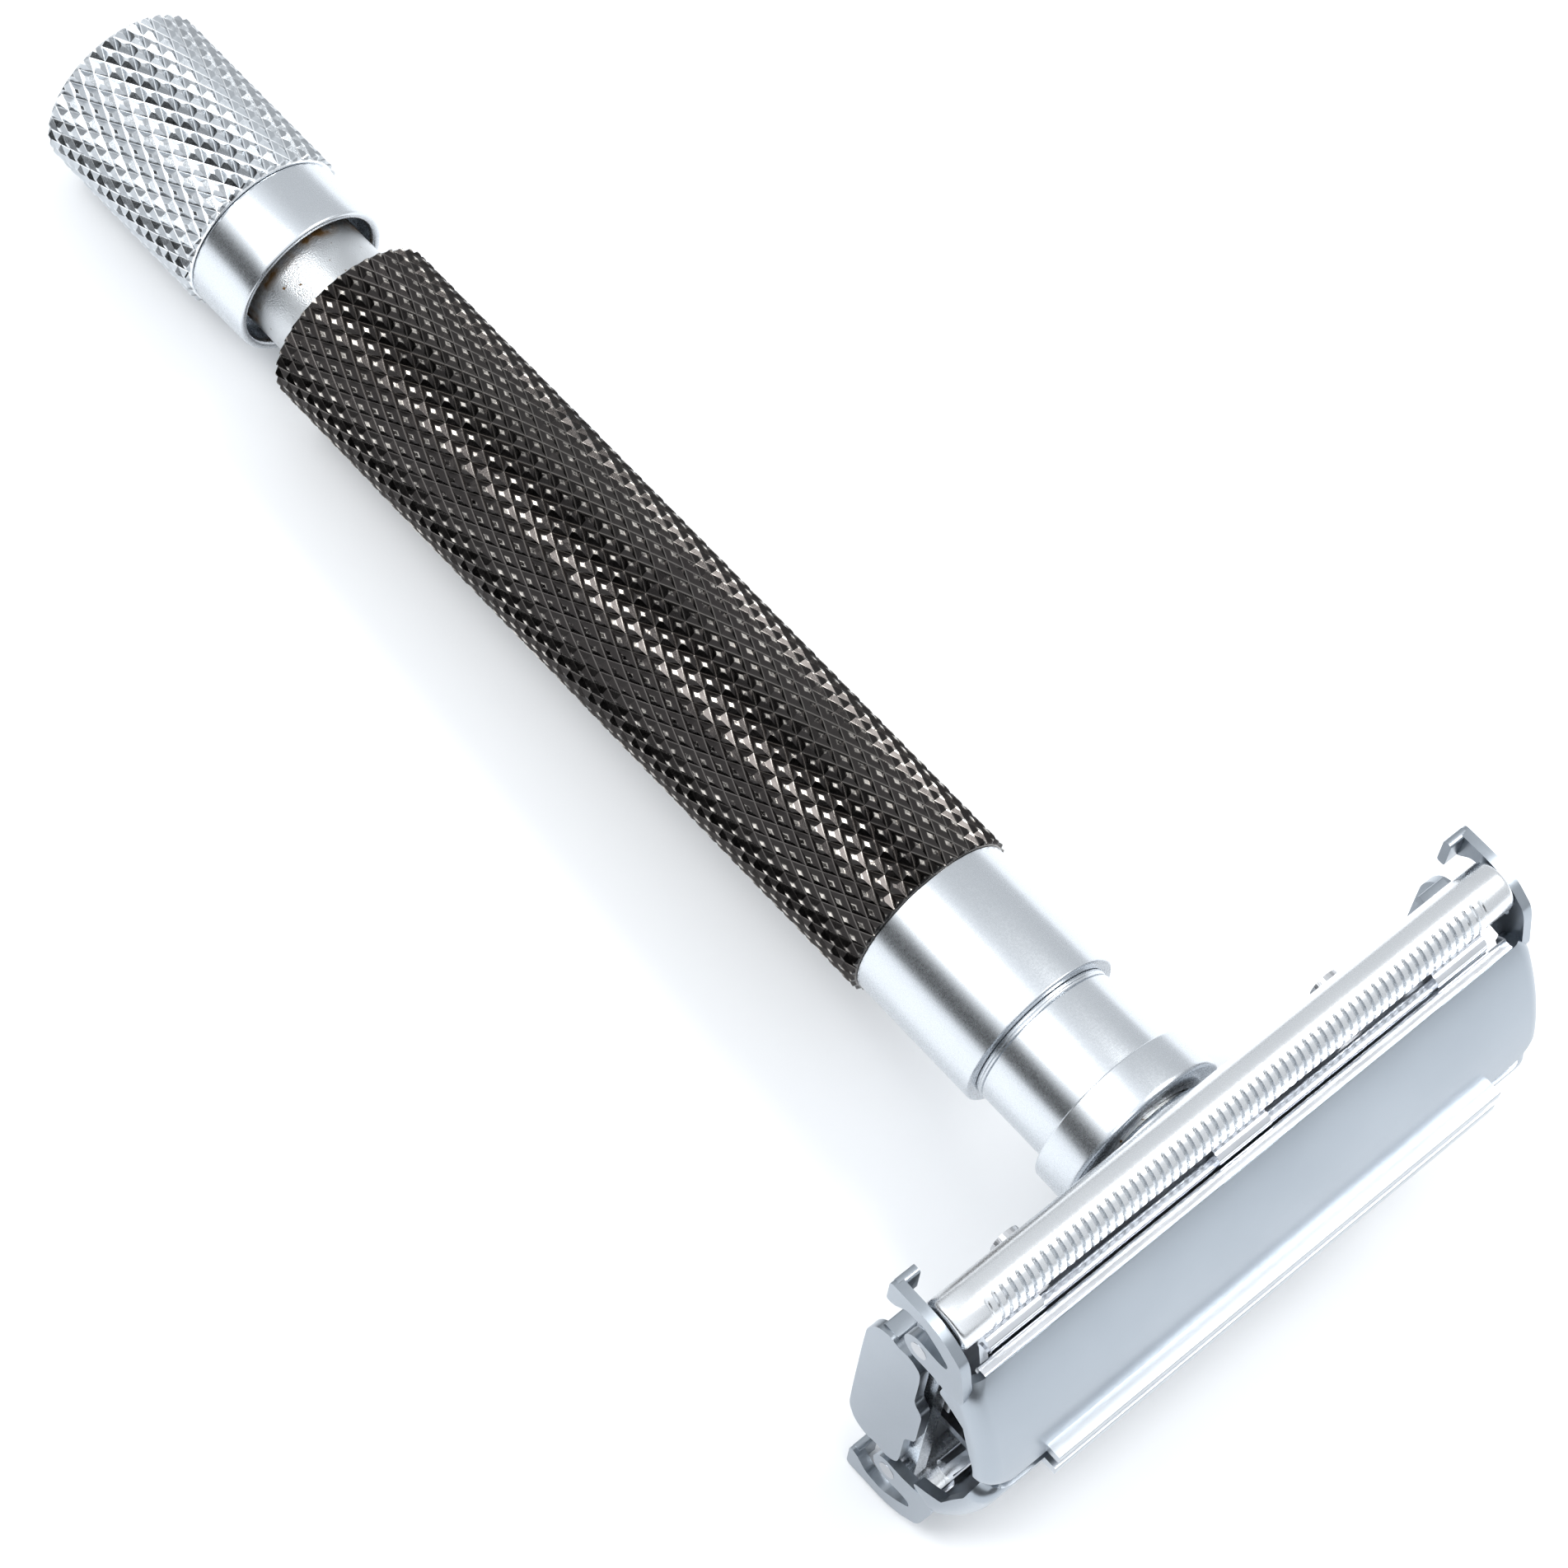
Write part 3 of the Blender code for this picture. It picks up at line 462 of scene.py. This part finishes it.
def make_knob():
    """The knurled knob, with a shallow ring sunk in its rear end and the lead screw's bore in front."""
    radius, low, high = KNOB_RADIUS, KNOB_REAR, KNOB_FRONT
    work = bmesh.new()
    knurl(work, radius, low + KNOB_REAR_EDGE, high - KNOB_FRONT_EDGE, KNOB_TIP)
    rim(work, low + KNOB_REAR_EDGE, [
        (radius - 0.30, low + 0.12), (radius - 0.42, low), (radius - 0.9, low), (radius - 1.0, low + 0.08),
        (radius - 2.9, low + 0.08), (radius - 3.0, low + 0.03), (0.3, low + 0.03),
        (NEARLY_ZERO, low + 0.03)])
    rim(work, high - KNOB_FRONT_EDGE, [
        (radius - 0.28, high - 0.05), (radius - 0.35, high), (SCREW_BORE, high),
        (SCREW_BORE, high - SCREW_BORE_DEPTH), (NEARLY_ZERO, high - SCREW_BORE_DEPTH)])
    new_piece("knob_knurl", work, KNOB_METAL, "knob", ["knob_body"], sharp=12)


def make_grip():
    """The dark knurled sleeve, bored to slip over the handle tube."""
    radius, low, high = GRIP_RADIUS, GRIP_REAR, GRIP_FRONT
    bore = cad_ring("handle_tube")[0] + 0.25
    work = bmesh.new()
    knurl(work, radius, low + GRIP_EDGE, high - GRIP_EDGE, GRIP_TIP)
    for end, inward in ((low, 1), (high, -1)):
        rim(work, end + inward * GRIP_EDGE, [
            (radius - 0.24, end + inward * 0.04), (radius - 0.34, end), (bore, end),
            (bore, end + inward * 3)])
    new_piece("grip_knurl", work, GRIP_METAL, "handle", ["grip_sleeve"], sharp=12)


# ---------------------------------------------------------------- plain turned pieces

SEAT_REACH = 0.28           # how far a ring reaches into the CAD's clearance to meet its neighbour
COLLAR_RECESS_RADIUS = 4.95
COLLAR_RECESS_DEPTH = 3.6
NECK_FRONT_RADIUS = 3.6
FERRULE_BORE = 4.6
RING_BORE = 3.9
ROD_BORE = 2.9


def turned_piece(name, profile, node, ease, material=TURNED, body="handle"):
    work = bmesh.new()
    lathe(work, softened(profile, ease))
    new_piece(name, work, material, body, [node], sharp=50)


def seated_ring(node):
    """A turned CAD node's radius, rear end and front end, the rear end reaching to its neighbour."""
    radius, low, high = cad_ring(node)
    return radius, low - SEAT_REACH, high


def make_knob_collar():
    """The knob's collar, hollowed in front where the neck tube runs into it."""
    radius, low, high = seated_ring("knob_collar")
    floor = high - COLLAR_RECESS_DEPTH
    turned_piece("knob_collar_turned", [
        (radius - 0.10, high), (radius - 0.04, high - 1.2), (radius, low + 0.15), (radius - 0.12, low),
        (SCREW_BORE, low), (SCREW_BORE, floor), (COLLAR_RECESS_RADIUS, floor),
        (COLLAR_RECESS_RADIUS, high - 0.30), (COLLAR_RECESS_RADIUS + 0.15, high)],
        "knob_collar", ease=0.30, body="knob")


def make_neck_tube():
    """The handle's tube, stepped down where it passes through the rings in front."""
    radius, low, high = cad_ring("handle_tube")
    shoulder = cad_ring("neck_ferrule")[1] - 0.3
    turned_piece("neck_tube", [
        (NECK_FRONT_RADIUS, high), (NECK_FRONT_RADIUS, shoulder), (radius, shoulder), (radius, low),
        (ROD_BORE, low), (ROD_BORE, high)],
        "handle_tube", ease=0.14, material=NECK)


def make_front_ferrule():
    """The wide ferrule in front of the grip."""
    radius, low, high = seated_ring("front_ferrule")
    turned_piece("front_ferrule_turned", [
        (radius - 0.10, high), (radius, high - 0.10), (radius, low), (FERRULE_BORE, low),
        (FERRULE_BORE, high)],
        "front_ferrule", ease=0.05)


def make_neck_ferrule():
    """The narrower ferrule, with a fine groove near its rear end."""
    radius, low, high = seated_ring("neck_ferrule")
    turned_piece("neck_ferrule_turned", [
        (radius - 0.12, high), (radius, high - 0.12), (radius, low + 0.5), (radius - 0.07, low + 0.42),
        (radius - 0.07, low + 0.28), (radius, low + 0.20), (radius, low), (RING_BORE, low),
        (RING_BORE, high)],
        "neck_ferrule", ease=0.06)


def make_head_collar():
    """The collar under the head."""
    radius, low, high = seated_ring("head_collar")
    turned_piece("head_collar_turned", [
        (radius - 0.10, high), (radius, high - 0.25), (radius - 0.03, low), (RING_BORE, low),
        (RING_BORE, high)],
        "head_collar", ease=0.12)


def make_guard_seat():
    """The seat that the guard plate stands on, reaching to its neighbours at both ends."""
    radius, low, high = seated_ring("guard_seat")
    high += SEAT_REACH
    turned_piece("guard_seat_turned", [
        (radius, high), (radius - 0.05, low + 0.2), (radius - 0.2, low), (ROD_BORE, low),
        (ROD_BORE, high)],
        "guard_seat", ease=0.1)


# ---------------------------------------------------------------- guard

GUARD_HIGH = cad_box("guard_plate")[1]
BAR_RADIUS = 1.65
BAR_Y = GUARD_HIGH[1] - BAR_RADIUS
BAR_FLAT = 1.35             # from a bar's centre line to its flat inner face
BAR_INNER = BAR_Y - BAR_FLAT
BAR_END = GUARD_HIGH[0] + 0.2
BAR_ROUNDING = ((0.0, 0.30), (0.06, 0.14), (0.16, 0.05), (0.32, 0.0))     # (from the end, inset)
HEAD_Z = GUARD_HIGH[2] - BAR_RADIUS
GROOVES = 64
GROOVE_PITCH = 0.60
GROOVE_DEPTH = 0.32
GROOVE_SHAPE = ((-0.13, 0.0), (-0.06, 0.85), (0.0, 1.0), (0.06, 0.85), (0.13, 0.0))
GROOVE_FADE = 2.5           # the length over which the grooves die out at a bar's ends
PLATE_HALF_LENGTH = 19.4
PLATE_FLAT_Y = 6.7
PLATE_UNDER_Z = -2.75
PLATE_SHEET = 0.8
ROD_HOLE_DEPTH = 4.0


def head_prism(work, outline, low, high):
    """An outline of the head, extruded along the head."""
    prism(work, [(y, z + HEAD_Z) for y, z in outline], low, high)


def bar_section():
    """Section of a guard bar: round outside and on top, flat inside."""
    outer = arc((BAR_Y, 0.0), BAR_RADIUS, -104, 90, 40)
    top = [(BAR_Y + (y - BAR_Y) * BAR_FLAT / BAR_RADIUS, z)
           for y, z in arc((BAR_Y, 0.0), BAR_RADIUS, 95, 172, 14)]
    return outer + top + [(BAR_INNER, -0.55), (BAR_INNER + 0.3, -1.1)]


def bar_stations():
    """Places along a bar with the depth of its groove at each, and an inset that rounds its ends."""
    made = []
    last = (GROOVES - 1) / 2 * GROOVE_PITCH
    faded = last + GROOVE_PITCH
    for k in range(GROOVES):
        middle = k * GROOVE_PITCH - last
        strength = ramp(abs(middle), faded, faded - GROOVE_FADE)
        for offset, share in GROOVE_SHAPE:
            made.append((middle + offset, share * strength, 0.0))
    ends = [(BAR_END - back, 0.0, inset) for back, inset in BAR_ROUNDING]
    return [(-x, groove, inset) for x, groove, inset in ends] + made + ends[::-1]


def make_bar(work, side):
    """A guard bar with its row of fine grooves over the top and the outside."""
    section = bar_section()
    rings = []
    for x, groove, inset in bar_stations():
        ring = []
        for y, z in section:
            angle = math.degrees(math.atan2(z, y - BAR_Y))
            window = ramp(angle, 14, 28) * ramp(angle, 152, 128)
            reach = math.hypot(y - BAR_Y, z)
            scale = 1.0 - (inset + groove * GROOVE_DEPTH * window) / max(reach, 0.5)
            ring.append(work.verts.new((x, side * (BAR_Y + (y - BAR_Y) * scale), HEAD_Z + z * scale)))
        rings.append(ring)
    count = len(section)
    for near, far in zip(rings, rings[1:]):
        for i in range(count):
            j = (i + 1) % count
            work.faces.new((near[i], near[j], far[j], far[i]))
    work.faces.new(rings[0])
    work.faces.new(rings[-1][::-1])


def cut_rod_hole(plate):
    """Cut the lift rod's hole through the middle of the guard plate."""
    work = bmesh.new()
    lathe(work, [(ROD_BORE, HEAD_Z), (ROD_BORE, HEAD_Z - ROD_HOLE_DEPTH), (0.0, HEAD_Z - ROD_HOLE_DEPTH),
                 (0.0, HEAD_Z)], 96)
    cutter = placed("rod_hole", mesh_from("rod_hole", work))
    step = plate.modifiers.new("hole", "BOOLEAN")
    step.object = cutter
    step.operation = "DIFFERENCE"
    step.solver = "EXACT"
    bpy.context.view_layer.update()
    cut = plate.evaluated_get(bpy.context.evaluated_depsgraph_get())
    shape = bpy.data.meshes.new_from_object(cut)
    plate.modifiers.clear()
    plate.data = shape
    bpy.data.objects.remove(cutter, do_unlink=True)


def make_guard():
    """The guard plate: a bar along each side, and the folded sheet between them."""
    for word, side in SIDES:
        work = bmesh.new()
        make_bar(work, side)
        # The bars take the lighter copy of the satin chrome, a painted light.
        new_piece(f"guard_bar_{word}", work, LIT_SATIN_BARS, "handle", (), sharp=30)
    half = [(PLATE_FLAT_Y, PLATE_UNDER_Z), (BAR_Y - 0.3, -BAR_RADIUS + 0.05), (BAR_Y - 0.4, -0.6),
            (BAR_INNER + 0.1, -0.55), (PLATE_FLAT_Y, PLATE_UNDER_Z + PLATE_SHEET)]
    work = bmesh.new()
    head_prism(work, half + mirrored(half), -PLATE_HALF_LENGTH, PLATE_HALF_LENGTH)
    plate = new_piece("guard_plate_sheet", work, SATIN, "handle", ["guard_plate"])
    cut_rod_hole(plate)
    ease_edges(plate, 2, 40)


# ---------------------------------------------------------------- blade rests

REST_SECTION = [(3.2, -1.65), (6.4, -1.65), (6.4, -0.95), (3.9, -0.95), (3.9, 2.45), (9.25, 1.2),
                (9.25, 1.95), (2.2, 3.6), (2.2, 2.9), (3.2, 2.67)]
TAB_CENTRE = (9.4, 1.4)
TAB_RADIUS = 0.7
TAB_PLACES = (-17.2, 0.0, 17.2)
TAB_HALF_LENGTH = 2.0


def make_rests():
    """The bright rests under the blade's edges, each with three round tabs along its ledge."""
    for word, side in SIDES:
        low, high = cad_box(f"blade_rest_{word}")
        work = bmesh.new()
        head_prism(work, softened(on_side(REST_SECTION, side), 0.18, 3), low[0], high[0])
        tab = on_side(arc(TAB_CENTRE, TAB_RADIUS, -160, 160, 20) + [(8.6, 1.95), (8.6, 1.0)], side)
        for middle in TAB_PLACES:
            head_prism(work, tab, middle - TAB_HALF_LENGTH, middle + TAB_HALF_LENGTH)
        piece = new_piece(f"rest_{word}", work, BRIGHT, "handle", [f"blade_rest_{word}"],
                          sharp=30)
        ease_edges(piece)


# ---------------------------------------------------------------- doors

DOOR_OUTER = (9.45, 3.0)
DOOR_INNER = (0.5, 6.3)
DOOR_CROWN = 0.6
DOOR_SHEET = 0.7
DOOR_END = 22.0
DOOR_TUCK_Y = 8.2           # outside this, the door's ends draw in towards its outer edge
DOOR_TUCK = 0.5
DOOR_NOTCH_Y = 1.7          # inside this, they draw in towards the middle of the head
DOOR_NOTCH = 0.9
FOLD = 1.15                 # radius of the bend at a door's ends
FLAT_STEPS, FOLD_STEPS, HANG_STEPS = 12, 8, 4
FREE_EDGE = [(0.0, 5.5), (1.6, 5.15), (4.0, 4.25), (6.2, 3.5), (7.3, 2.4), (8.2, 1.4), (9.5, 1.6)]
LIP = rectangle(DOOR_INNER[0], DOOR_INNER[0] + 0.7, 5.9, 7.25)
LIP_HALF_LENGTH = 17.5
# The strip under a door's outer edge that carries its painted highlight.
HIGHLIGHT_STRIP = rectangle(DOOR_OUTER[0] - 0.6, DOOR_OUTER[0], 2.2, 2.96)
HIGHLIGHT_STRIP_HALF_LENGTH = 20.4
HINGE = (8.9, -0.6)
HINGE_BOSS = 1.15
EAR = rectangle(10.9, 13.1, -3.5, -2.9)
EAR_X = (20.3, 21.7)
ARM_MARGIN = 0.02           # what an arm is thinner by, on each face, than the door's end


def door_arc(steps):
    """Points of the door's outer face and their outward normals, from the inner edge outwards."""
    outer = Vector(DOOR_OUTER)
    inner = Vector(DOOR_INNER)
    chord = (outer - inner).length
    radius = chord ** 2 / (8 * DOOR_CROWN) + DOOR_CROWN / 2
    across = (outer - inner) / chord
    normal = Vector((-across.y, across.x))
    centre = (outer + inner) / 2 - normal * (radius - DOOR_CROWN)
    spread = math.asin(chord / 2 / radius)
    made = []
    for k in range(steps + 1):
        angle = -spread + 2 * spread * k / steps
        ray = normal * math.cos(angle) + across * math.sin(angle)
        made.append((centre + ray * radius, ray))
    return made


def free_edge(y):
    """The height of the end fold's free edge at a distance from the head's middle."""
    for (y0, z0), (y1, z1) in zip(FREE_EDGE, FREE_EDGE[1:]):
        if y <= y1:
            return z0 + (z1 - z0) * max(y - y0, 0.0) / (y1 - y0)
    return FREE_EDGE[-1][1]


def fold_path(end, drop, inset):
    """Half of the door's length as (place along the head, depth): flat, then folded down at its end."""
    reach = FOLD - inset
    path = [(k * (end - FOLD) / FLAT_STEPS, inset) for k in range(FLAT_STEPS + 1)]
    for k in range(1, FOLD_STEPS + 1):
        angle = math.radians(90 * k / FOLD_STEPS)
        path.append((end - FOLD + reach * math.sin(angle), FOLD - reach * math.cos(angle)))
    for k in range(1, HANG_STEPS + 1):
        path.append((end - inset, FOLD + (max(drop, FOLD + 0.05) - FOLD) * k / HANG_STEPS))
    return path


def make_door_shell(work, side):
    """A door's crowned sheet with its two folded ends."""
    outer_rows = []
    inner_rows = []
    for point, ray in door_arc(36):
        y = point.x
        tuck = ramp(y, DOOR_TUCK_Y, DOOR_OUTER[0])
        notch = ramp(y, DOOR_NOTCH_Y, DOOR_INNER[0])
        end = DOOR_END - DOOR_TUCK * tuck ** 2 - DOOR_NOTCH * notch ** 2
        drop = (point.y - free_edge(y)) / ray.y if tuck < 1 else FOLD
        for rows, inset in ((outer_rows, 0.0), (inner_rows, DOOR_SHEET)):
            half = fold_path(end, drop, inset)
            full = [(-x, d) for x, d in reversed(half[1:])] + half
            rows.append([work.verts.new((x, side * (point.x - ray.x * d), HEAD_Z + point.y - ray.y * d))
                         for x, d in full])
    for rows in (outer_rows, inner_rows):
        for near, far in zip(rows, rows[1:]):
            for i in range(len(near) - 1):
                work.faces.new((near[i], near[i + 1], far[i + 1], far[i]))
    for row in (0, -1):
        outer, inner = outer_rows[row], inner_rows[row]
        for i in range(len(outer) - 1):
            work.faces.new((outer[i], outer[i + 1], inner[i + 1], inner[i]))
    for i in (0, -1):
        for row in range(len(outer_rows) - 1):
            work.faces.new((outer_rows[row][i], outer_rows[row + 1][i],
                            inner_rows[row + 1][i], inner_rows[row][i]))


def arm_outline():
    """The end flange below the fold: a boss round the hinge pin and an arm past the guard bar's end."""
    rough = [(7.4, 2.6), (7.8, 0.5)]
    rough += arc(HINGE, HINGE_BOSS, 170, 370, 14)
    rough += [(9.9, 0.7), (10.0, 1.4), (10.5, 1.5), (11.2, 0.7), (12.0, -0.6), (11.9, -2.0), (11.0, -2.9),
              (10.9, -3.5), (13.1, -3.5), (13.1, -1.0), (13.0, 0.0), (12.6, 1.0), (11.7, 2.2), (11.0, 2.5),
              (9.2, 2.9), (8.3, 3.1)]
    return softened(rough, 0.35)


def make_door_strips(word, side, body):
    """The lip that stands up along a door's inner edge, and a bright chrome strip under its outer edge,
    lighter than the door: a painted highlight along that edge.
    """
    work = bmesh.new()
    head_prism(work, on_side(softened(LIP, 0.1, 3), side), -LIP_HALF_LENGTH, LIP_HALF_LENGTH)
    strip = new_piece(f"door_{word}_lip", work, SATIN, body, ())
    ease_edges(strip)
    work = bmesh.new()
    head_prism(work, on_side(softened(HIGHLIGHT_STRIP, 0.12, 3), side), -HIGHLIGHT_STRIP_HALF_LENGTH, HIGHLIGHT_STRIP_HALF_LENGTH)
    # A bright chrome strip, lighter than the door's shell: a painted highlight along the door's outer
    # edge.
    new_piece(f"door_{word}_edge_highlight", work, BRIGHT, body, ())


def make_door_arm(word, side, body, name, end):
    """The arm at one end of a door, with a small ear turned inwards at its foot."""
    work = bmesh.new()
    head_prism(work, on_side(arm_outline(), side),
               *span(end, DOOR_END - DOOR_SHEET + ARM_MARGIN, DOOR_END - ARM_MARGIN))
    head_prism(work, on_side(softened(EAR, 0.2, 3), side), *span(end, *EAR_X))
    # The arm takes the darker copy of the satin chrome, a painted shade.
    arm = new_piece(f"door_{word}_arm_{name}", work, SHADED_SATIN, body, ())
    ease_edges(arm)


def make_doors():
    for word, side in SIDES:
        body = f"{word}_door"
        work = bmesh.new()
        make_door_shell(work, side)
        # The shell takes the darker copy of the satin chrome, a painted shade.
        shell = new_piece(f"door_{word}_shell", work, SHADED_SATIN, body, [f"door_{word}"],
                          sharp=38)
        ease_edges(shell, 2)
        make_door_strips(word, side, body)
        for name, end in ENDS:
            make_door_arm(word, side, body, name, end)


# ---------------------------------------------------------------- carriage

END_PLATE_X = (21.32, 22.0)
END_FOLD_X = (19.75, 21.7)
END_FOLD_Y = (6.5, 7.15)
CENTRE_BAR_HALF_WIDTH = 1.0
CENTRE_BAR_HEIGHT = 2.5
LUG_HALF_WIDTH = 0.9
LUG_X = (8.0, 13.0)


def end_plate_outline():
    """Outline of an end plate: wavy round sides, a round bottom and a small tongue on top."""
    half = [(3.0, -4.3), (5.6, -4.25), (6.8, -3.6), (7.2, -2.6), (6.9, -1.9), (7.15, -1.0), (6.6, -0.1),
            (5.6, 0.0), (2.6, 0.0), (1.9, 0.75)]
    return softened(half + mirrored(half), 1.2, 6)


def make_end_plate(word, end):
    """An end plate with a small fold turned inwards at each side."""
    work = bmesh.new()
    head_prism(work, end_plate_outline(), *span(end, *END_PLATE_X))
    for half in (-1, 1):
        left, right = span(half, *END_FOLD_Y)
        fold = [(left, -3.5), (right, -3.4), (right, -2.2), (left, -2.2)]
        head_prism(work, softened(fold, 0.15, 3), *span(end, *END_FOLD_X))
    # The end plate takes the darker copy of the satin chrome, a painted shade.
    plate = new_piece(f"end_plate_{word}_pressed", work, SHADED_SATIN, "carriage", [f"end_plate_{word}"])
    ease_edges(plate)


def make_end_bracket(word):
    low, high = cad_box(f"end_bracket_{word}")
    work = bmesh.new()
    prism(work, softened(rectangle(-high[1], high[1], low[2], high[2]), 0.5), low[0], high[0])
    piece = new_piece(f"end_bracket_{word}_pressed", work, TURNED, "carriage", [f"end_bracket_{word}"])
    ease_edges(piece, 2)


def make_centre_bar():
    """The bar that the lift rod carries, with a lug standing on each half."""
    low, high = cad_box("centre_bar")
    bar = rectangle(-CENTRE_BAR_HALF_WIDTH, CENTRE_BAR_HALF_WIDTH, low[2], low[2] + CENTRE_BAR_HEIGHT)
    lug = rectangle(-LUG_HALF_WIDTH, LUG_HALF_WIDTH, low[2] + 1.2, high[2])
    work = bmesh.new()
    prism(work, softened(bar, 0.2, 3), low[0], high[0])
    for side in (-1, 1):
        prism(work, softened(lug, 0.3, 3), *span(side, *LUG_X))
    piece = new_piece("centre_bar_milled", work, STEEL, "carriage", ["centre_bar"])
    ease_edges(piece, 2)


# ---------------------------------------------------------------- CAD nodes that still show

BRASS_NODES = {"lead_screw", "thrust_collar", "rear_bush", "front_bush", "lift_nut"}


def in_metres(material):
    """A copy of a metal for the CAD nodes, whose object coordinates are metres."""
    copy = material.copy()
    copy.name = material.name + "_metres"
    for node in copy.node_tree.nodes:
        if node.bl_idname == "ShaderNodeMapping":
            scale = node.inputs["Scale"].default_value
            node.inputs["Scale"].default_value = [value / MM for value in scale]
        if node.bl_idname == "ShaderNodeBump":
            node.inputs["Distance"].default_value = HIDDEN_GRAIN_DEPTH
    return copy


def finish_hidden_nodes():
    """Give its metal to every CAD node that no piece replaces."""
    brass = in_metres(BRASS)
    steel = in_metres(STEEL)
    for name, node in NODES.items():
        if name in REPLACED:
            continue
        node.data.materials.clear()
        node.data.materials.append(brass if name in BRASS_NODES else steel)


make_knob()
make_grip()
make_knob_collar()
make_neck_tube()
make_front_ferrule()
make_neck_ferrule()
make_head_collar()
make_guard_seat()
make_guard()
make_rests()
make_doors()
for end_word, end_side in ENDS:
    make_end_plate(end_word, end_side)
    make_end_bracket(end_word)
make_centre_bar()
finish_hidden_nodes()


# ---------------------------------------------------------------- floor, light and camera

FLOOR_SIZE = 6.0
FLOOR_GLOW = 0.02
CAMERA_PLACE = (-106.92, 248.02, 155.70)        # in the razor's frame, as are the two directions
CAMERA_RIGHT = (0.74715, 0.07769, 0.66010)
CAMERA_UP = (0.55019, 0.48493, -0.67981)
SENSOR_WIDTH = 36.0
FOCAL_LENGTH = 110.41
COOL = (0.97, 0.985, 1.0)
WARM = (1.0, 0.995, 0.98)
LAMPS = (("key", (-0.32, -0.36, 0.76), 0.42, 4.2),          # (name, place in metres, side, watts)
         ("bars", (0.16, 0.40, 0.70), 0.30, 4.4))
TENT_STRENGTH = 1.25
TENT_UPWARDS = (0.0, 0.35, 0.90)                # the tent brightens in this direction
TENT_BY_HEIGHT = [(0.0, 0.02), (0.13, 0.12), (0.22, 0.88), (0.34, 1.0)]     # (position, level)
TENT_ACROSS = [(0.0, 1.0), (0.36, 0.62)]


def make_floor():
    bpy.ops.mesh.primitive_plane_add(size=FLOOR_SIZE, location=(0, 0, 0))
    floor = bpy.context.object
    floor.name = "floor"
    nodes = Nodes("white_floor", 0.0)
    tone = nodes.mixed(nodes.noise(0.8, 2.0), (0.82, 0.835, 0.855), (0.84, 0.85, 0.865))
    gloss = nodes.ranged(nodes.noise(3.0, 2.0), 0.0, 1.0, 0.85, 0.95)
    nodes.shader.inputs["Emission Color"].default_value = (*COOL, 1.0)
    nodes.shader.inputs["Emission Strength"].default_value = FLOOR_GLOW
    floor.data.materials.append(nodes.finish(tone, gloss))


def camera_matrix():
    """The camera's world matrix, squared up from its right and up directions."""
    right = (ROTATION @ Vector(CAMERA_RIGHT)).normalized()
    up = (ROTATION @ Vector(CAMERA_UP)).normalized()
    back = right.cross(up).normalized()
    up = back.cross(right).normalized()
    matrix = Matrix((right, up, back)).transposed().to_4x4()
    matrix.translation = RAZOR @ Vector(CAMERA_PLACE)
    return matrix


def make_camera():
    camera = bpy.data.objects.new("camera", bpy.data.cameras.new("camera"))
    bpy.context.scene.collection.objects.link(camera)
    camera.matrix_world = camera_matrix()
    camera.data.sensor_width = SENSOR_WIDTH
    camera.data.lens = FOCAL_LENGTH
    camera.data.clip_start = 0.01
    camera.data.clip_end = 50.0
    bpy.context.scene.camera = camera


def area_light(name, place, side, power):
    """A soft square lamp, turned to the middle of the scene."""
    lamp = bpy.data.lights.new(name, "AREA")
    lamp.shape = "SQUARE"
    lamp.size = side
    lamp.energy = power
    lamp.color = WARM
    holder = bpy.data.objects.new(name, lamp)
    bpy.context.scene.collection.objects.link(holder)
    holder.location = place
    holder.rotation_euler = Vector(place).to_track_quat("Z", "Y").to_euler()


def world_ramp(tree, stops):
    """A slightly blue grey ramp through (position, level) stops."""
    node = tree.nodes.new("ShaderNodeValToRGB")
    made = node.color_ramp.elements
    while len(made) < len(stops):
        made.new(0.5)
    for element, (position, level) in zip(made, stops):
        element.position = position
        element.color = (*(level * part for part in COOL), 1.0)
    return node


def make_world():
    """A studio tent: bright above, dark along the horizon and dimmer on the +Y side."""
    world = bpy.data.worlds.new("studio")
    bpy.context.scene.world = world
    world.use_nodes = True
    tree = world.node_tree
    background = tree.nodes["Background"]
    place = tree.nodes.new("ShaderNodeTexCoord")
    weigh = tree.nodes.new("ShaderNodeVectorMath")
    weigh.operation = "DOT_PRODUCT"
    weigh.inputs[1].default_value = TENT_UPWARDS
    parts = tree.nodes.new("ShaderNodeSeparateXYZ")
    height = world_ramp(tree, TENT_BY_HEIGHT)
    across = world_ramp(tree, TENT_ACROSS)
    both = tree.nodes.new("ShaderNodeMix")
    both.data_type = "RGBA"
    both.blend_type = "MULTIPLY"
    both.inputs["Factor"].default_value = 1.0
    tree.links.new(place.outputs["Generated"], weigh.inputs[0])
    tree.links.new(place.outputs["Generated"], parts.inputs["Vector"])
    tree.links.new(weigh.outputs["Value"], height.inputs["Fac"])
    tree.links.new(parts.outputs["Y"], across.inputs["Fac"])
    tree.links.new(height.outputs["Color"], both.inputs["A"])
    tree.links.new(across.outputs["Color"], both.inputs["B"])
    tree.links.new(both.outputs["Result"], background.inputs["Color"])
    background.inputs["Strength"].default_value = TENT_STRENGTH


make_floor()
make_camera()
make_world()
for lamp_settings in LAMPS:
    area_light(*lamp_settings)
bpy.context.scene.view_settings.view_transform = "Standard"
bpy.context.scene.view_settings.look = "None"
